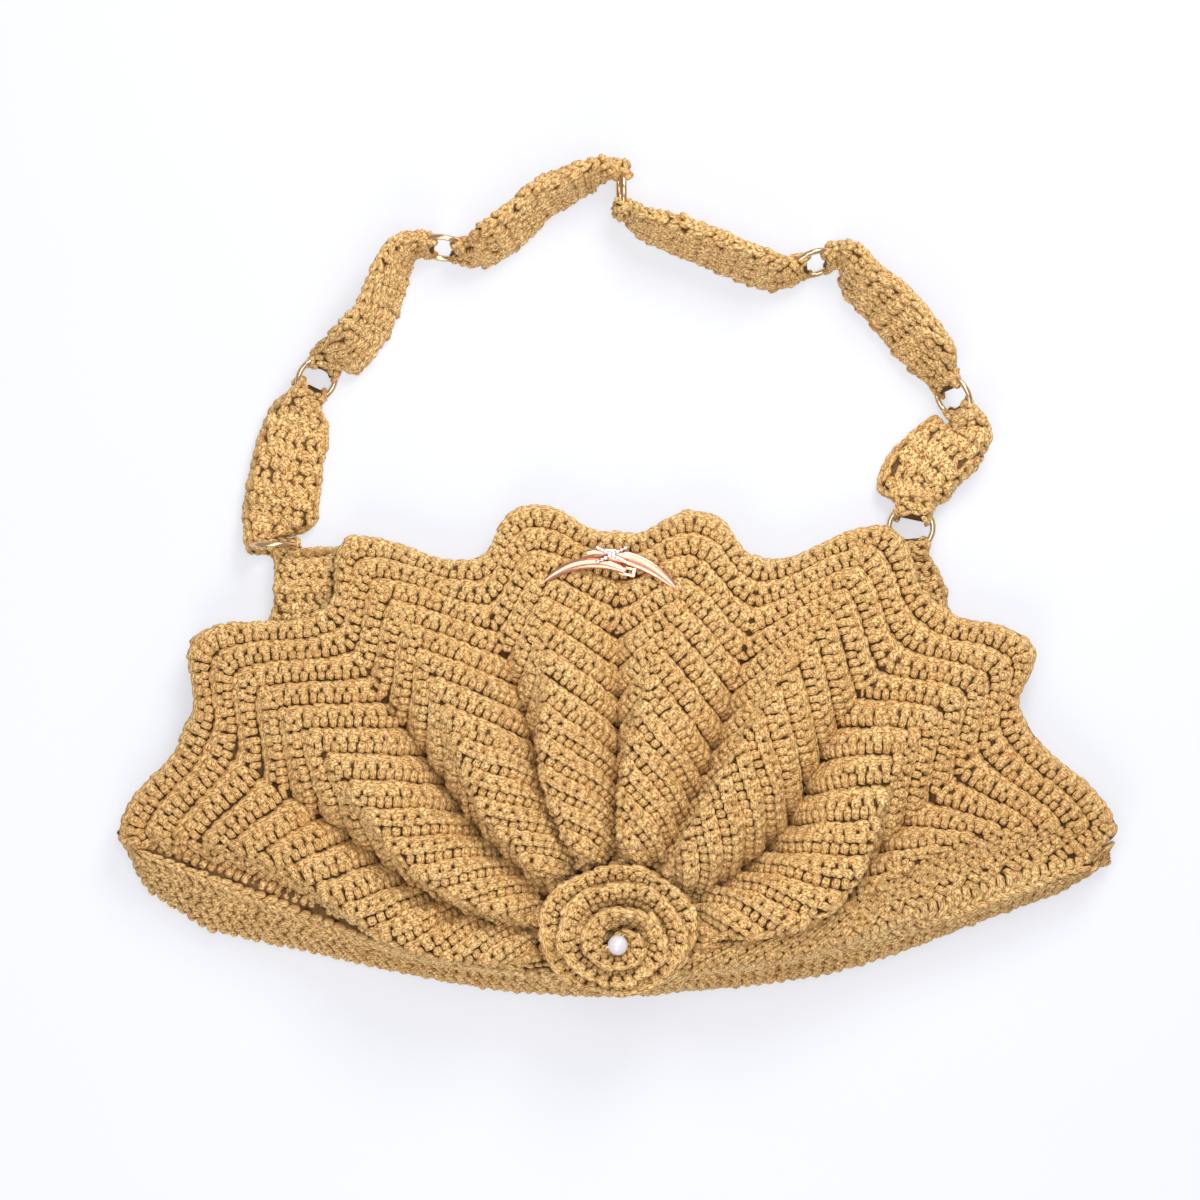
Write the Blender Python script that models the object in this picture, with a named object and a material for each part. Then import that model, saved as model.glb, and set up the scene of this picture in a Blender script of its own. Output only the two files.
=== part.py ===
"""Crocheted fan handbag, lying on its back with its ringed strap laid above it.

Lengths are in metres and +Z is up. The back panel lies on the surface z = 0, the scalloped
mouth of the fan looks along +Y and the gathered rosette sits at its foot. Tables give places
as shares of the named sizes, chosen by hand.
"""

import math
from typing import NamedTuple

import bpy
from mathutils import Matrix, Vector

# Driving sizes of the fan-shaped body
FAN_WIDTH = 0.400
FAN_HEIGHT = 0.1964
CROCHET_WALL = 0.0045
BACK_WALL = 0.0045
MOUTH_GAP = 0.0078
GUSSET_DEPTH = 0.0210
GUSSET_WALL = 0.0040
PLEAT_HEIGHT = 0.0070
RIDGE_RELIEF = 0.0009
RIDGE_COUNT = 15
SCALLOP_ROUNDING = 0.0036
PIECE_GAP = 0.0003

# Driving sizes of the rosette, its pearl and the pinned brooch
ROSETTE_RADIUS = 0.0330
ROSETTE_DEPTH = 0.0541
ROSETTE_HEIGHT = 0.0170
ROSETTE_WALL = 0.0036
PEARL_DIAMETER = 0.0080
BROOCH_SPAN = 0.0560
BROOCH_DROP = 0.0110
BROOCH_WIDTH = 0.0052
BROOCH_THICKNESS = 0.0024
BROOCH_BED = 0.0006
STONE_DIAMETER = 0.0022
STONE_STRAND = 0.0140
STONES_A_STRAND = 5

# Driving sizes of the strap
STRAP_SPAN = 0.2952
STRAP_RISE = 0.1552
STRAP_WIDTH = 0.0280
STRAP_THICKNESS = 0.0060
TAB_WIDTH = 0.0264
TAB_THICKNESS = 0.0040
RING_DIAMETER = 0.0200
RING_WIRE = 0.0024
KNUCKLE_WIDTH = 0.0094
KNUCKLE_WALL = 0.0016
TUNNEL_CLEARANCE = 0.0004

# Sizes worked out from the driving ones
RIM_TOP = BACK_WALL + MOUTH_GAP + CROCHET_WALL
BELLY_TOP = BACK_WALL + GUSSET_DEPTH + CROCHET_WALL
ROSETTE_FLATNESS = ROSETTE_DEPTH / (2 * ROSETTE_RADIUS)
RING_RADIUS = (RING_DIAMETER - RING_WIRE) / 2
TUNNEL_RADIUS = RING_WIRE / 2 + TUNNEL_CLEARANCE
KNUCKLE_THICKNESS = 2 * (TUNNEL_RADIUS + KNUCKLE_WALL)
WIRE_SAG = RING_RADIUS - math.sqrt(RING_RADIUS**2 - (KNUCKLE_WIDTH / 2) ** 2)
STRAP_FOOT = 0.918 * FAN_HEIGHT

# Shares along the flank between two fold lines, closer together at the scallops' tips
FLANK_STEPS = (0.0, 0.2, 0.8)
RIBBON_STEPS = 15
RING_SIDES = 16
WIRE_SIDES = 5
CUTTER_SIDES = 8


class Fold(NamedTuple):
    """One fold line of the fan, from the rosette out to the edge.

    lift is 1 on a raised pleat and -1 in a valley. Each pair of shares is a place across half
    the fan's width and up its height, at the foot, the two thirds and the edge.
    """

    name: str
    lift: float
    foot: tuple
    inner: tuple
    outer: tuple
    edge: tuple


FOLDS = (
    Fold("left base", -0.2, (-0.065, 0.05), (-0.37, 0.085), (-0.67, 0.18), (-0.968, 0.29)),
    Fold("left tip", 0.8, (-0.065, 0.08), (-0.39, 0.115), (-0.68, 0.275), (-0.998, 0.338)),
    Fold("valley 1", -0.9, (-0.062, 0.10), (-0.355, 0.205), (-0.61, 0.38), (-0.862, 0.56)),
    Fold("pleat 2", 1.0, (-0.060, 0.12), (-0.36, 0.26), (-0.59, 0.51), (-0.845, 0.735)),
    Fold("valley 2", -1.0, (-0.054, 0.14), (-0.265, 0.335), (-0.435, 0.565), (-0.588, 0.786)),
    Fold("pleat 3", 1.0, (-0.044, 0.155), (-0.235, 0.385), (-0.37, 0.67), (-0.54, 0.935)),
    Fold("valley 3", -1.0, (-0.032, 0.165), (-0.12, 0.41), (-0.205, 0.65), (-0.294, 0.888)),
    Fold("pleat 4", 1.0, (-0.020, 0.173), (-0.115, 0.44), (-0.135, 0.72), (-0.184, 0.998)),
    Fold("valley 4", -1.0, (0.000, 0.175), (0.012, 0.43), (0.003, 0.69), (0.006, 0.945)),
    Fold("pleat 5", 1.0, (0.016, 0.173), (0.04, 0.445), (0.10, 0.715), (0.172, 0.984)),
    Fold("valley 5", -1.0, (0.030, 0.165), (0.16, 0.39), (0.24, 0.635), (0.296, 0.888)),
    Fold("pleat 6", 1.0, (0.042, 0.155), (0.22, 0.415), (0.37, 0.695), (0.54, 0.959)),
    Fold("valley 6", -1.0, (0.052, 0.14), (0.31, 0.305), (0.455, 0.57), (0.646, 0.80)),
    Fold("pleat 7", 1.0, (0.058, 0.12), (0.385, 0.215), (0.565, 0.51), (0.832, 0.715)),
    Fold("valley 7", -0.9, (0.060, 0.10), (0.365, 0.145), (0.585, 0.36), (0.81, 0.578)),
    Fold("right tip", 0.8, (0.062, 0.08), (0.395, 0.125), (0.69, 0.31), (1.0, 0.348)),
    Fold("right base", -0.2, (0.062, 0.05), (0.365, 0.09), (0.665, 0.168), (0.956, 0.265)),
)


class BaseStation(NamedTuple):
    """One place on the bag's lowest outline, as shares of half its width and its height."""

    across: float
    up: float


BASE_OUTLINE = (
    BaseStation(-0.995, 0.322),
    BaseStation(-0.942, 0.214),
    BaseStation(-0.82, 0.134),
    BaseStation(-0.60, 0.09),
    BaseStation(-0.42, 0.05),
    BaseStation(-0.25, 0.019),
    BaseStation(0.0, 0.0),
    BaseStation(0.14, 0.016),
    BaseStation(0.30, 0.03),
    BaseStation(0.43, 0.051),
    BaseStation(0.57, 0.096),
    BaseStation(0.745, 0.169),
    BaseStation(0.88, 0.21),
    BaseStation(0.985, 0.27),
)


class RibbonStation(NamedTuple):
    """One section of the rosette's rolled ribbon, as shares of its radius and its height."""

    turn: float
    foot: float
    lip: float
    height: float


ROSETTE_RIBBON = (
    RibbonStation(0.0, 0.70, 1.0, 0.36),
    RibbonStation(1.0, 0.50, 0.93, 0.44),
    RibbonStation(1.3, 0.44, 0.81, 0.60),
    RibbonStation(2.0, 0.30, 0.70, 0.74),
    RibbonStation(2.4, 0.22, 0.50, 0.90),
    RibbonStation(3.0, 0.10, 0.40, 1.0),
    RibbonStation(3.55, 0.05, 0.15, 0.94),
)


class RingPlace(NamedTuple):
    """One strap ring: shares of the strap's half span and rise, its pull heading and tilt.

    lift is 1 on a ring that lies over the back panel's edge and 0 on the surface.
    """

    across: float
    up: float
    heading: float
    tilt: float
    lift: float = 0.0


RINGS = (
    RingPlace(-0.935, 0.0, 0.0, 88.0),
    RingPlace(-0.818, 0.43, 60.0, 38.0),
    RingPlace(-0.475, 0.77, -8.0, 64.0),
    RingPlace(0.012, 0.92, -88.0, 84.0),
    RingPlace(0.537, 0.73, 18.0, 62.0),
    RingPlace(0.915, 0.384, -62.0, 50.0),
    RingPlace(0.800, 0.046, -98.0, 0.0, 1.0),
)


class BandSection(NamedTuple):
    """One section of a strap band: shares of half the span, of the rise and of the width.

    roll turns the band about its run, from 0 where it lies flat to 90 where it stands on edge.
    """

    across: float
    up: float
    roll: float
    width: float


class Hold(NamedTuple):
    """How a band holds a ring: the clock angle round the ring and the way off it.

    across is 0 for a band that leaves in the ring's plane, and 1 or -1 for one that leaves
    along the axis of the ring's hole or against it.
    """

    clock: float
    across: int = 0


class Band(NamedTuple):
    """One strap band between two neighbouring rings."""

    start: Hold
    end: Hold
    sections: tuple


BANDS = (
    Band(
        Hold(225.0, -1),
        Hold(180.0),
        (
            BandSection(-0.92, 0.075, 4.0, 1.0),
            BandSection(-0.91, 0.14, 4.0, 1.0),
            BandSection(-0.89, 0.25, 3.0, 0.95),
            BandSection(-0.865, 0.325, 8.0, 0.85),
        ),
    ),
    Band(
        Hold(0.0),
        Hold(180.0),
        (
            BandSection(-0.75, 0.49, 45.0, 0.8),
            BandSection(-0.71, 0.53, 56.0, 1.0),
            BandSection(-0.66, 0.59, 63.0, 1.0),
            BandSection(-0.62, 0.69, 68.0, 1.0),
            BandSection(-0.59, 0.75, 66.0, 0.9),
        ),
    ),
    Band(
        Hold(0.0),
        Hold(180.0, 1),
        (
            BandSection(-0.37, 0.77, 62.0, 0.9),
            BandSection(-0.30, 0.81, 64.0, 1.0),
            BandSection(-0.21, 0.89, 68.0, 1.0),
            BandSection(-0.11, 0.94, 72.0, 1.0),
            BandSection(-0.05, 0.965, 76.0, 0.9),
        ),
    ),
    Band(
        Hold(0.0, -1),
        Hold(180.0),
        (
            BandSection(0.06, 0.84, 76.0, 0.9),
            BandSection(0.14, 0.81, 70.0, 1.0),
            BandSection(0.25, 0.77, 68.0, 1.0),
            BandSection(0.35, 0.73, 67.0, 1.0),
            BandSection(0.42, 0.71, 64.0, 0.9),
        ),
    ),
    Band(
        Hold(0.0),
        Hold(180.0),
        (
            BandSection(0.63, 0.73, 60.0, 0.9),
            BandSection(0.67, 0.68, 57.0, 1.0),
            BandSection(0.75, 0.61, 52.0, 1.0),
            BandSection(0.81, 0.54, 52.0, 1.0),
            BandSection(0.86, 0.48, 52.0, 0.9),
        ),
    ),
    Band(
        Hold(0.0),
        Hold(180.0),
        (
            BandSection(0.95, 0.30, 35.0, 0.75),
            BandSection(0.92, 0.27, 20.0, 0.95),
            BandSection(0.84, 0.20, 10.0, 1.0),
            BandSection(0.80, 0.14, 4.0, 0.95),
        ),
    ),
)
LEFT_TAB_HOLD = Hold(315.0, 1)
RIGHT_TAB_HOLD = Hold(0.0)


class TabSection(NamedTuple):
    """One section of a side tab: shares of half the fan's width, its height and tab width."""

    across: float
    up: float
    width: float


LEFT_TAB = (
    TabSection(-0.622, 0.905, 1.0),
    TabSection(-0.620, 0.860, 1.0),
    TabSection(-0.625, 0.780, 1.0),
    TabSection(-0.680, 0.640, 0.95),
    TabSection(-0.780, 0.480, 0.80),
    TabSection(-0.860, 0.370, 0.50),
)
RIGHT_TAB = (
    TabSection(0.565, 0.890, 0.95),
    TabSection(0.590, 0.830, 1.0),
    TabSection(0.600, 0.770, 1.0),
    TabSection(0.670, 0.620, 0.95),
    TabSection(0.760, 0.470, 0.80),
    TabSection(0.850, 0.370, 0.50),
)


# Scene and materials


def clear_scene():
    """Removes every object that the file opens with."""
    for item in list(bpy.data.objects):
        bpy.data.objects.remove(item, do_unlink=True)


def new_collection(name):
    """Makes an empty collection in the scene and returns it."""
    collection = bpy.data.collections.new(name)
    bpy.context.scene.collection.children.link(collection)
    return collection


def new_material(name, colour, roughness, metallic=0.0):
    """Makes a plain Principled material from a linear colour and returns it."""
    material = bpy.data.materials.new(name)
    material.use_nodes = True
    shader = material.node_tree.nodes["Principled BSDF"]
    shader.inputs["Base Color"].default_value = (*colour, 1.0)
    shader.inputs["Roughness"].default_value = roughness
    shader.inputs["Metallic"].default_value = metallic
    return material


# Small geometry helpers


def blend(start, end, share):
    """Returns the value a share of the way from start to end."""
    return start + (end - start) * share


def smooth_step(share):
    """Returns an eased share, held between 0 and 1."""
    share = min(1.0, max(0.0, share))
    return share * share * (3 - 2 * share)


def fan_point(across, up):
    """Returns the plan place for shares of half the fan's width and of its height."""
    return Vector((across * FAN_WIDTH / 2, up * FAN_HEIGHT, 0.0))


def strap_point(across, up):
    """Returns the plan place for shares of half the strap's span and of its rise."""
    return Vector((across * STRAP_SPAN / 2, STRAP_FOOT + up * STRAP_RISE, 0.0))


def smooth_curve(points, share):
    """Returns the place at a share along a smooth curve through the points, evenly spaced."""
    position = share * (len(points) - 1)
    index = min(int(position), len(points) - 2)
    t = position - index
    before = points[index - 1] if index > 0 else 2 * points[0] - points[1]
    after = points[index + 2] if index + 2 < len(points) else 2 * points[-1] - points[-2]
    start, end = points[index], points[index + 1]
    ease_out = (-t + 2 * t**2 - t**3) / 2
    ease_in = (-(t**2) + t**3) / 2
    hold = (2 - 5 * t**2 + 3 * t**3) / 2
    reach = (t + 4 * t**2 - 3 * t**3) / 2
    return before * ease_out + start * hold + end * reach + after * ease_in


def add_mesh_object(name, points, faces, material, collection):
    """Makes one mesh object from points and faces, shaded smooth but for its sharp edges."""
    mesh = bpy.data.meshes.new(name)
    mesh.from_pydata([tuple(point) for point in points], [], faces)
    mesh.update()
    mesh.shade_smooth()
    mesh.set_sharp_from_angle(angle=math.radians(40))
    mesh.materials.append(material)
    item = bpy.data.objects.new(name, mesh)
    collection.objects.link(item)
    return item


def slab(name, top, bottom, material, collection):
    """Makes a closed wall between two grids of points of the same size.

    Each grid is a list of rows. Seen from the top, rows run left to right and the points of a
    row run away from the viewer, so that every face points out.
    """
    rows, columns = len(top), len(top[0])
    points = [point for row in top for point in row] + [point for row in bottom for point in row]
    under = rows * columns

    def number(row, column):
        return row * columns + column

    faces = []
    for row in range(rows - 1):
        for column in range(columns - 1):
            corners = (
                number(row, column),
                number(row + 1, column),
                number(row + 1, column + 1),
                number(row, column + 1),
            )
            faces.append(corners)
            faces.append(tuple(under + corner for corner in reversed(corners)))
    border = [number(row, 0) for row in range(rows)]
    border += [number(rows - 1, column) for column in range(1, columns)]
    border += [number(row, columns - 1) for row in range(rows - 2, -1, -1)]
    border += [number(0, column) for column in range(columns - 2, 0, -1)]
    for start, end in zip(border, border[1:] + border[:1]):
        faces.append((end, start, under + start, under + end))
    return add_mesh_object(name, points, faces, material, collection)


def loft(name, sections, material, collection):
    """Makes a closed solid through loops of points of the same number, with flat ends."""
    count = len(sections[0])
    points = [point for section in sections for point in section]
    faces = [tuple(range(count - 1, -1, -1))]
    for level in range(len(sections) - 1):
        for index in range(count):
            following = (index + 1) % count
            low, high = level * count, (level + 1) * count
            faces.append((low + index, low + following, high + following, high + index))
    last = (len(sections) - 1) * count
    faces.append(tuple(range(last, last + count)))
    return add_mesh_object(name, points, faces, material, collection)


# The front panel: a ripple fan whose pleats gather at the rosette


def fold_place(fold, share):
    """Returns the plan place at a share of the way out along one fold line."""
    corners = (fold.foot, fold.inner, fold.outer, fold.edge)
    return smooth_curve([fan_point(*corner) for corner in corners], share)


def rosette_centre():
    """Returns the plan place of the rosette's middle."""
    return fan_point(-0.004, 0.142)


def gather_share(share):
    """Returns how strongly the pleats stand at a share of the way out from the rosette."""
    peak = 0.27
    return (share / peak * math.exp(1 - share / peak)) ** 1.6


def pressed_share(place):
    """Returns how free the panel is of the rosette that presses its pleats flat."""
    offset = place - rosette_centre()
    distance = math.hypot(offset.x, offset.y / ROSETTE_FLATNESS)
    return smooth_step((distance - 0.92 * ROSETTE_RADIUS) / (0.5 * ROSETTE_RADIUS))


def panel_rise(share):
    """Returns the height of the panel's face at a share of the way out, without its pleats."""
    return RIM_TOP + (BELLY_TOP - RIM_TOP) * max(0.0, math.cos(share * math.pi / 2)) ** 0.8


def crest_height(share):
    """Returns the height of a pleat's ribbed crest at a share of the way out."""
    return panel_rise(share) + PLEAT_HEIGHT * gather_share(share) + RIDGE_RELIEF


def front_point(column, share, ridge, inside=False):
    """Returns one point of the front panel.

    column counts fold lines from the left, with its decimals the share of the flank after it.
    ridge is 1 on a crochet ridge's crest and -1 in the crease beside it.
    """
    index = min(int(column), len(FOLDS) - 2)
    t = column - index
    left, right = FOLDS[index], FOLDS[index + 1]
    place = fold_place(left, share).lerp(fold_place(right, share), t)
    outward = (place - rosette_centre()).normalized()
    turn = 1 if left.lift > right.lift else -1
    place += outward * turn * SCALLOP_ROUNDING * math.sin(2 * math.pi * t) * share
    lift = blend(left.lift, right.lift, smooth_step(t))
    pleat = lift * PLEAT_HEIGHT * gather_share(share) * pressed_share(place)
    if inside:
        place.z = panel_rise(share) - CROCHET_WALL + min(pleat, 0.4 * pleat)
    else:
        place.z = panel_rise(share) + pleat + ridge * RIDGE_RELIEF * pressed_share(place)
    return place


def flank_columns():
    """Returns the columns at which the fan is sampled, from its left base to its right."""
    flanks = range(len(FOLDS) - 1)
    return [flank + step for flank in flanks for step in FLANK_STEPS] + [len(FOLDS) - 1]


def build_front_panel(material, collection):
    """Builds the pleated, ribbed front panel as one crochet wall."""
    levels = [(2 * ridge + step) / (2 * RIDGE_COUNT) for ridge in range(RIDGE_COUNT) for step in (0, 1)]
    crests = [-1, 1] * RIDGE_COUNT
    levels.append(1.0)
    crests.append(0)
    outside = []
    inside = []
    for column in reversed(flank_columns()):
        outside.append([front_point(column, level, crest) for level, crest in zip(levels, crests)])
        inside.append([front_point(column, level, 0, inside=True) for level in levels])
    return slab("front_panel", inside, outside, material, collection)


# The back panel and the gusset


def base_point(across):
    """Returns the place on the bag's lowest outline at a share of half its width."""
    stations = BASE_OUTLINE
    for start, end in zip(stations, stations[1:]):
        if across <= end.across:
            break
    t = (across - start.across) / (end.across - start.across)
    return fan_point(across, blend(start.up, end.up, smooth_step(t) * 0.3 + t * 0.7))


def back_outline():
    """Returns the back panel's outline: the scallops, then the base from right to left."""
    scallops = [column for column in flank_columns() if 1 <= column <= len(FOLDS) - 2]
    outline = [front_point(column, 1.0, 0) for column in scallops]
    outline += [base_point(station.across) for station in reversed(BASE_OUTLINE[1:-1])]
    return [Vector((place.x, place.y, 0.0)) for place in outline]


def build_back_panel(material, collection):
    """Builds the back panel: the scalloped outline as a flat crochet wall on the surface."""
    curve = bpy.data.curves.new("back_panel", "CURVE")
    curve.dimensions = "2D"
    curve.fill_mode = "BOTH"
    curve.extrude = BACK_WALL / 2
    spline = curve.splines.new("POLY")
    outline = back_outline()
    spline.points.add(len(outline) - 1)
    for point, place in zip(spline.points, outline):
        point.co = (place.x, place.y, 0.0, 1.0)
    spline.use_cyclic_u = True
    curve.materials.append(material)
    item = bpy.data.objects.new("back_panel", curve)
    item.location.z = BACK_WALL / 2
    collection.objects.link(item)
    return item


def gusset_seams():
    """Returns matching places on the gusset's upper and lower seams, from left to right."""
    shares = [step / RIDGE_COUNT for step in range(RIDGE_COUNT + 1)]
    left = [front_point(0, share, 0, inside=True) for share in reversed(shares)]
    right = [front_point(len(FOLDS) - 1, share, 0, inside=True) for share in shares]
    return [(upper, base_point(upper.x / (FAN_WIDTH / 2))) for upper in left + right]


def build_gusset(material, collection):
    """Builds the base gusset: a band standing on the back panel and carrying the front one."""
    outside = []
    inside = []
    seams = gusset_seams()
    for index, (upper, lower) in enumerate(seams):
        before = seams[max(index - 1, 0)][0]
        after = seams[min(index + 1, len(seams) - 1)][0]
        inward = Vector((before.y - after.y, after.x - before.x, 0.0)).normalized() * GUSSET_WALL
        foot = Vector((lower.x, lower.y, BACK_WALL + PIECE_GAP))
        head = upper - Vector((0.0, 0.0, 2 * PIECE_GAP))
        middle = foot.lerp(head, 0.5) - inward * 0.25
        outside.append([foot, middle, head])
        inside.append([foot + inward, middle + inward, head + inward])
    return slab("gusset", outside, inside, material, collection)


# The rosette and its pearl


def ribbon_station(turn):
    """Returns the rosette ribbon's section at a number of turns from its outer end."""
    for start, end in zip(ROSETTE_RIBBON, ROSETTE_RIBBON[1:]):
        if turn <= end.turn:
            break
    t = (turn - start.turn) / (end.turn - start.turn)
    return RibbonStation(*(blend(low, high, t) for low, high in zip(start, end)))


def ribbon_point(turn, radius, height):
    """Returns a point of the rosette at a turn, for shares of its radius and height."""
    angle = 2 * math.pi * turn - 0.4 * math.pi
    reach = radius * ROSETTE_RADIUS
    drift = Vector((0.015, -0.055, 0.0)) * ROSETTE_RADIUS * turn
    rise = BELLY_TOP + PIECE_GAP + height * ROSETTE_HEIGHT
    spoke = Vector((reach * math.cos(angle), reach * math.sin(angle) * ROSETTE_FLATNESS, rise))
    return rosette_centre() + drift + spoke


def ribbon_section(turn):
    """Returns the ribbon's outer and inner points at a turn, each from its foot to its lip."""
    station = ribbon_station(turn)
    foot = ribbon_point(turn, station.foot, 0.0)
    lip = ribbon_point(turn, station.lip, station.height)
    middle = ribbon_point(turn, blend(station.foot, station.lip, 0.62), 0.34 * station.height)
    along = ribbon_point(turn + 0.01, station.lip, station.height) - lip
    through = along.cross(lip - foot).normalized() * ROSETTE_WALL
    if through.z < 0:
        through = -through
    level = Vector((through.x, through.y, 0.0)).normalized() * ROSETTE_WALL
    return [foot, middle, lip], [foot + level, middle + through, lip + through]


def build_rosette(material, collection):
    """Builds the rosette: a ribbon rolled three turns, flared outside and upright inside."""
    steps = round(ROSETTE_RIBBON[-1].turn * RIBBON_STEPS)
    sections = [ribbon_section(ROSETTE_RIBBON[-1].turn * step / steps) for step in range(steps + 1)]
    outer = [section[0] for section in sections]
    inner = [section[1] for section in sections]
    return slab("rosette", outer, inner, material, collection)


def build_pearl(material, collection):
    """Builds the pearl bead, seated on the lip of the rosette's innermost turn."""
    seat = ribbon_section(ROSETTE_RIBBON[-1].turn)[1][-1]
    bpy.ops.mesh.primitive_uv_sphere_add(segments=16, ring_count=10, radius=PEARL_DIAMETER / 2)
    pearl = bpy.context.object
    pearl.location = seat + Vector((0.0, 0.0, PEARL_DIAMETER / 2 + PIECE_GAP))
    return adopt(pearl, "pearl", material, collection)


def adopt(item, name, material, collection):
    """Names an object made by an operator and moves it into a collection."""
    item.name = name
    item.data.name = name
    for owner in list(item.users_collection):
        owner.objects.unlink(item)
    collection.objects.link(item)
    if material is not None:
        item.data.materials.clear()
        item.data.materials.append(material)
    item.data.shade_smooth()
    return item


# The strap: seven rings and six bands


def ring_matrix(place):
    """Returns the placing of one ring: its X axis is the pull heading, its Z axis the hole's."""
    heading = math.radians(place.heading)
    tilt = math.radians(place.tilt)
    pull = Vector((math.cos(heading), math.sin(heading), 0.0))
    side = Vector((-math.sin(heading) * math.cos(tilt), math.cos(heading) * math.cos(tilt), math.sin(tilt)))
    hole = pull.cross(side)
    centre = strap_point(place.across, place.up)
    ring_rest = RING_DIAMETER / 2 * math.sin(tilt) + RING_WIRE / 2 * math.cos(tilt)
    knuckle_rest = (KNUCKLE_THICKNESS * math.cos(tilt) + KNUCKLE_WIDTH * math.sin(tilt)) / 2
    centre.z = max(ring_rest, knuckle_rest) + PIECE_GAP + place.lift * (BACK_WALL + PIECE_GAP)
    return Matrix.Translation(centre) @ Matrix((pull, side, hole)).transposed().to_4x4()


def add_torus(name, placing, wire_radius, wire_sides, material, collection):
    """Adds a torus at the rings' size with its own wire radius."""
    bpy.ops.mesh.primitive_torus_add(
        major_segments=RING_SIDES,
        minor_segments=wire_sides,
        major_radius=RING_RADIUS,
        minor_radius=wire_radius,
    )
    ring = bpy.context.object
    ring.matrix_world = placing
    return adopt(ring, name, material, collection)


def build_rings(material, collection, cutters):
    """Builds the strap's rings and returns the cutters that clear their wires."""
    clearing = []
    for number, place in enumerate(RINGS, start=1):
        placing = ring_matrix(place)
        add_torus(f"strap_ring_{number}", placing, RING_WIRE / 2, WIRE_SIDES, material, collection)
        cutter = add_torus(f"ring_clearance_{number}", placing, TUNNEL_RADIUS, CUTTER_SIDES, None, cutters)
        cutter.hide_render = True
        cutter.display_type = "WIRE"
        clearing.append(cutter)
    return clearing


class Section(NamedTuple):
    """One section of a band: its middle, the ways of its width, depth and run, and its size."""

    centre: Vector
    side: Vector
    run: Vector
    width: float
    thickness: float


def section_loop(section):
    """Returns a section's rounded rectangle as eight points, turning about its run."""
    side = section.side.normalized()
    depth = section.run.cross(side).normalized()
    bevel = 0.3 * section.thickness
    half_width, half_depth = section.width / 2, section.thickness / 2
    quarter = ((half_width, half_depth - bevel), (half_width - bevel, half_depth))
    corners = list(quarter) + [(-across, up) for across, up in reversed(quarter)]
    corners += [(-across, -up) for across, up in corners]
    return [section.centre + side * across + depth * up for across, up in corners]


class Grip(NamedTuple):
    """One band end on its ring: the wire's place, and the ways of the band and its parts."""

    wire: Vector
    away: Vector
    side: Vector
    inward: Vector
    in_plane: bool


def ring_grip(ring_index, hold):
    """Returns the grip of a band's end on a ring."""
    placing = ring_matrix(RINGS[ring_index])
    turned = placing.to_3x3() @ Matrix.Rotation(math.radians(hold.clock), 3, "Z")
    radial = (turned @ Vector((1.0, 0.0, 0.0))).normalized()
    tangent = (turned @ Vector((0.0, 1.0, 0.0))).normalized()
    hole = (turned @ Vector((0.0, 0.0, 1.0))).normalized()
    wire = placing.translation + radial * RING_RADIUS
    away = hole * hold.across if hold.across else radial
    return Grip(wire, away, tangent, -radial, not hold.across)


def grip_sections(grip, leaving):
    """Returns the knuckle's sections between its closed tip and the neck of the band.

    leaving is true for a band that starts on the ring, and false for one that ends there.
    """
    wall = TUNNEL_RADIUS + KNUCKLE_WALL
    tip = -(WIRE_SAG + wall) if grip.in_plane else -wall
    depth = 2 * wall if grip.in_plane else 2 * wall + WIRE_SAG
    shift = Vector((0.0, 0.0, 0.0)) if grip.in_plane else grip.inward * WIRE_SAG / 2
    run = grip.away if leaving else -grip.away
    sections = []
    for reach, width_share, depth_share in ((tip, 0.92, 0.72), (tip * 0.55, 1.0, 1.0), (wall, 1.0, 1.0)):
        centre = grip.wire + grip.away * reach + shift
        width = KNUCKLE_WIDTH * width_share
        sections.append(Section(centre, grip.side, run, width, depth * depth_share))
    return sections if leaving else sections[::-1]


def laid_section(place, run, roll, width, thickness, lift):
    """Returns a band's section rolled about its run and resting at a lift off the surface."""
    level = Vector((-run.y, run.x, 0.0)).normalized()
    angle = math.radians(roll)
    side = level * math.cos(angle) + Vector((0.0, 0.0, 1.0)) * math.sin(angle)
    rest = (width * abs(math.sin(angle)) + thickness * abs(math.cos(angle))) / 2
    return Section(Vector((place.x, place.y, rest + lift)), side, run, width, thickness)


def build_band(name, sections, clearing, material, collection):
    """Lofts a band through its sections and cuts the tunnels of its rings."""
    loops = []
    side = sections[0].side
    for section in sections:
        side = section.side if section.side.dot(side) >= 0 else -section.side
        loops.append(section_loop(section._replace(side=side)))
    band = loft(name, loops, material, collection)
    for number, cutter in enumerate(clearing, start=1):
        cut = band.modifiers.new(f"tunnel {number}", "BOOLEAN")
        cut.operation = "DIFFERENCE"
        cut.object = cutter
    return band


def build_strap(material, collection, clearing):
    """Builds the strap's six bands between neighbouring rings."""
    for index, band in enumerate(BANDS):
        start = ring_grip(index, band.start)
        end = ring_grip(index + 1, band.end)
        places = [strap_point(row.across, row.up) for row in band.sections]
        route = [start.wire] + places + [end.wire]
        middle = []
        for row, before, place, after in zip(band.sections, route, places, route[2:]):
            run = Vector((after.x - before.x, after.y - before.y, 0.0)).normalized()
            width = row.width * STRAP_WIDTH
            middle.append(laid_section(place, run, row.roll, width, STRAP_THICKNESS, PIECE_GAP))
        sections = grip_sections(start, True) + middle + grip_sections(end, False)
        cutters = clearing[index : index + 2]
        build_band(f"strap_band_{index + 1}", sections, cutters, material, collection)


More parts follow.
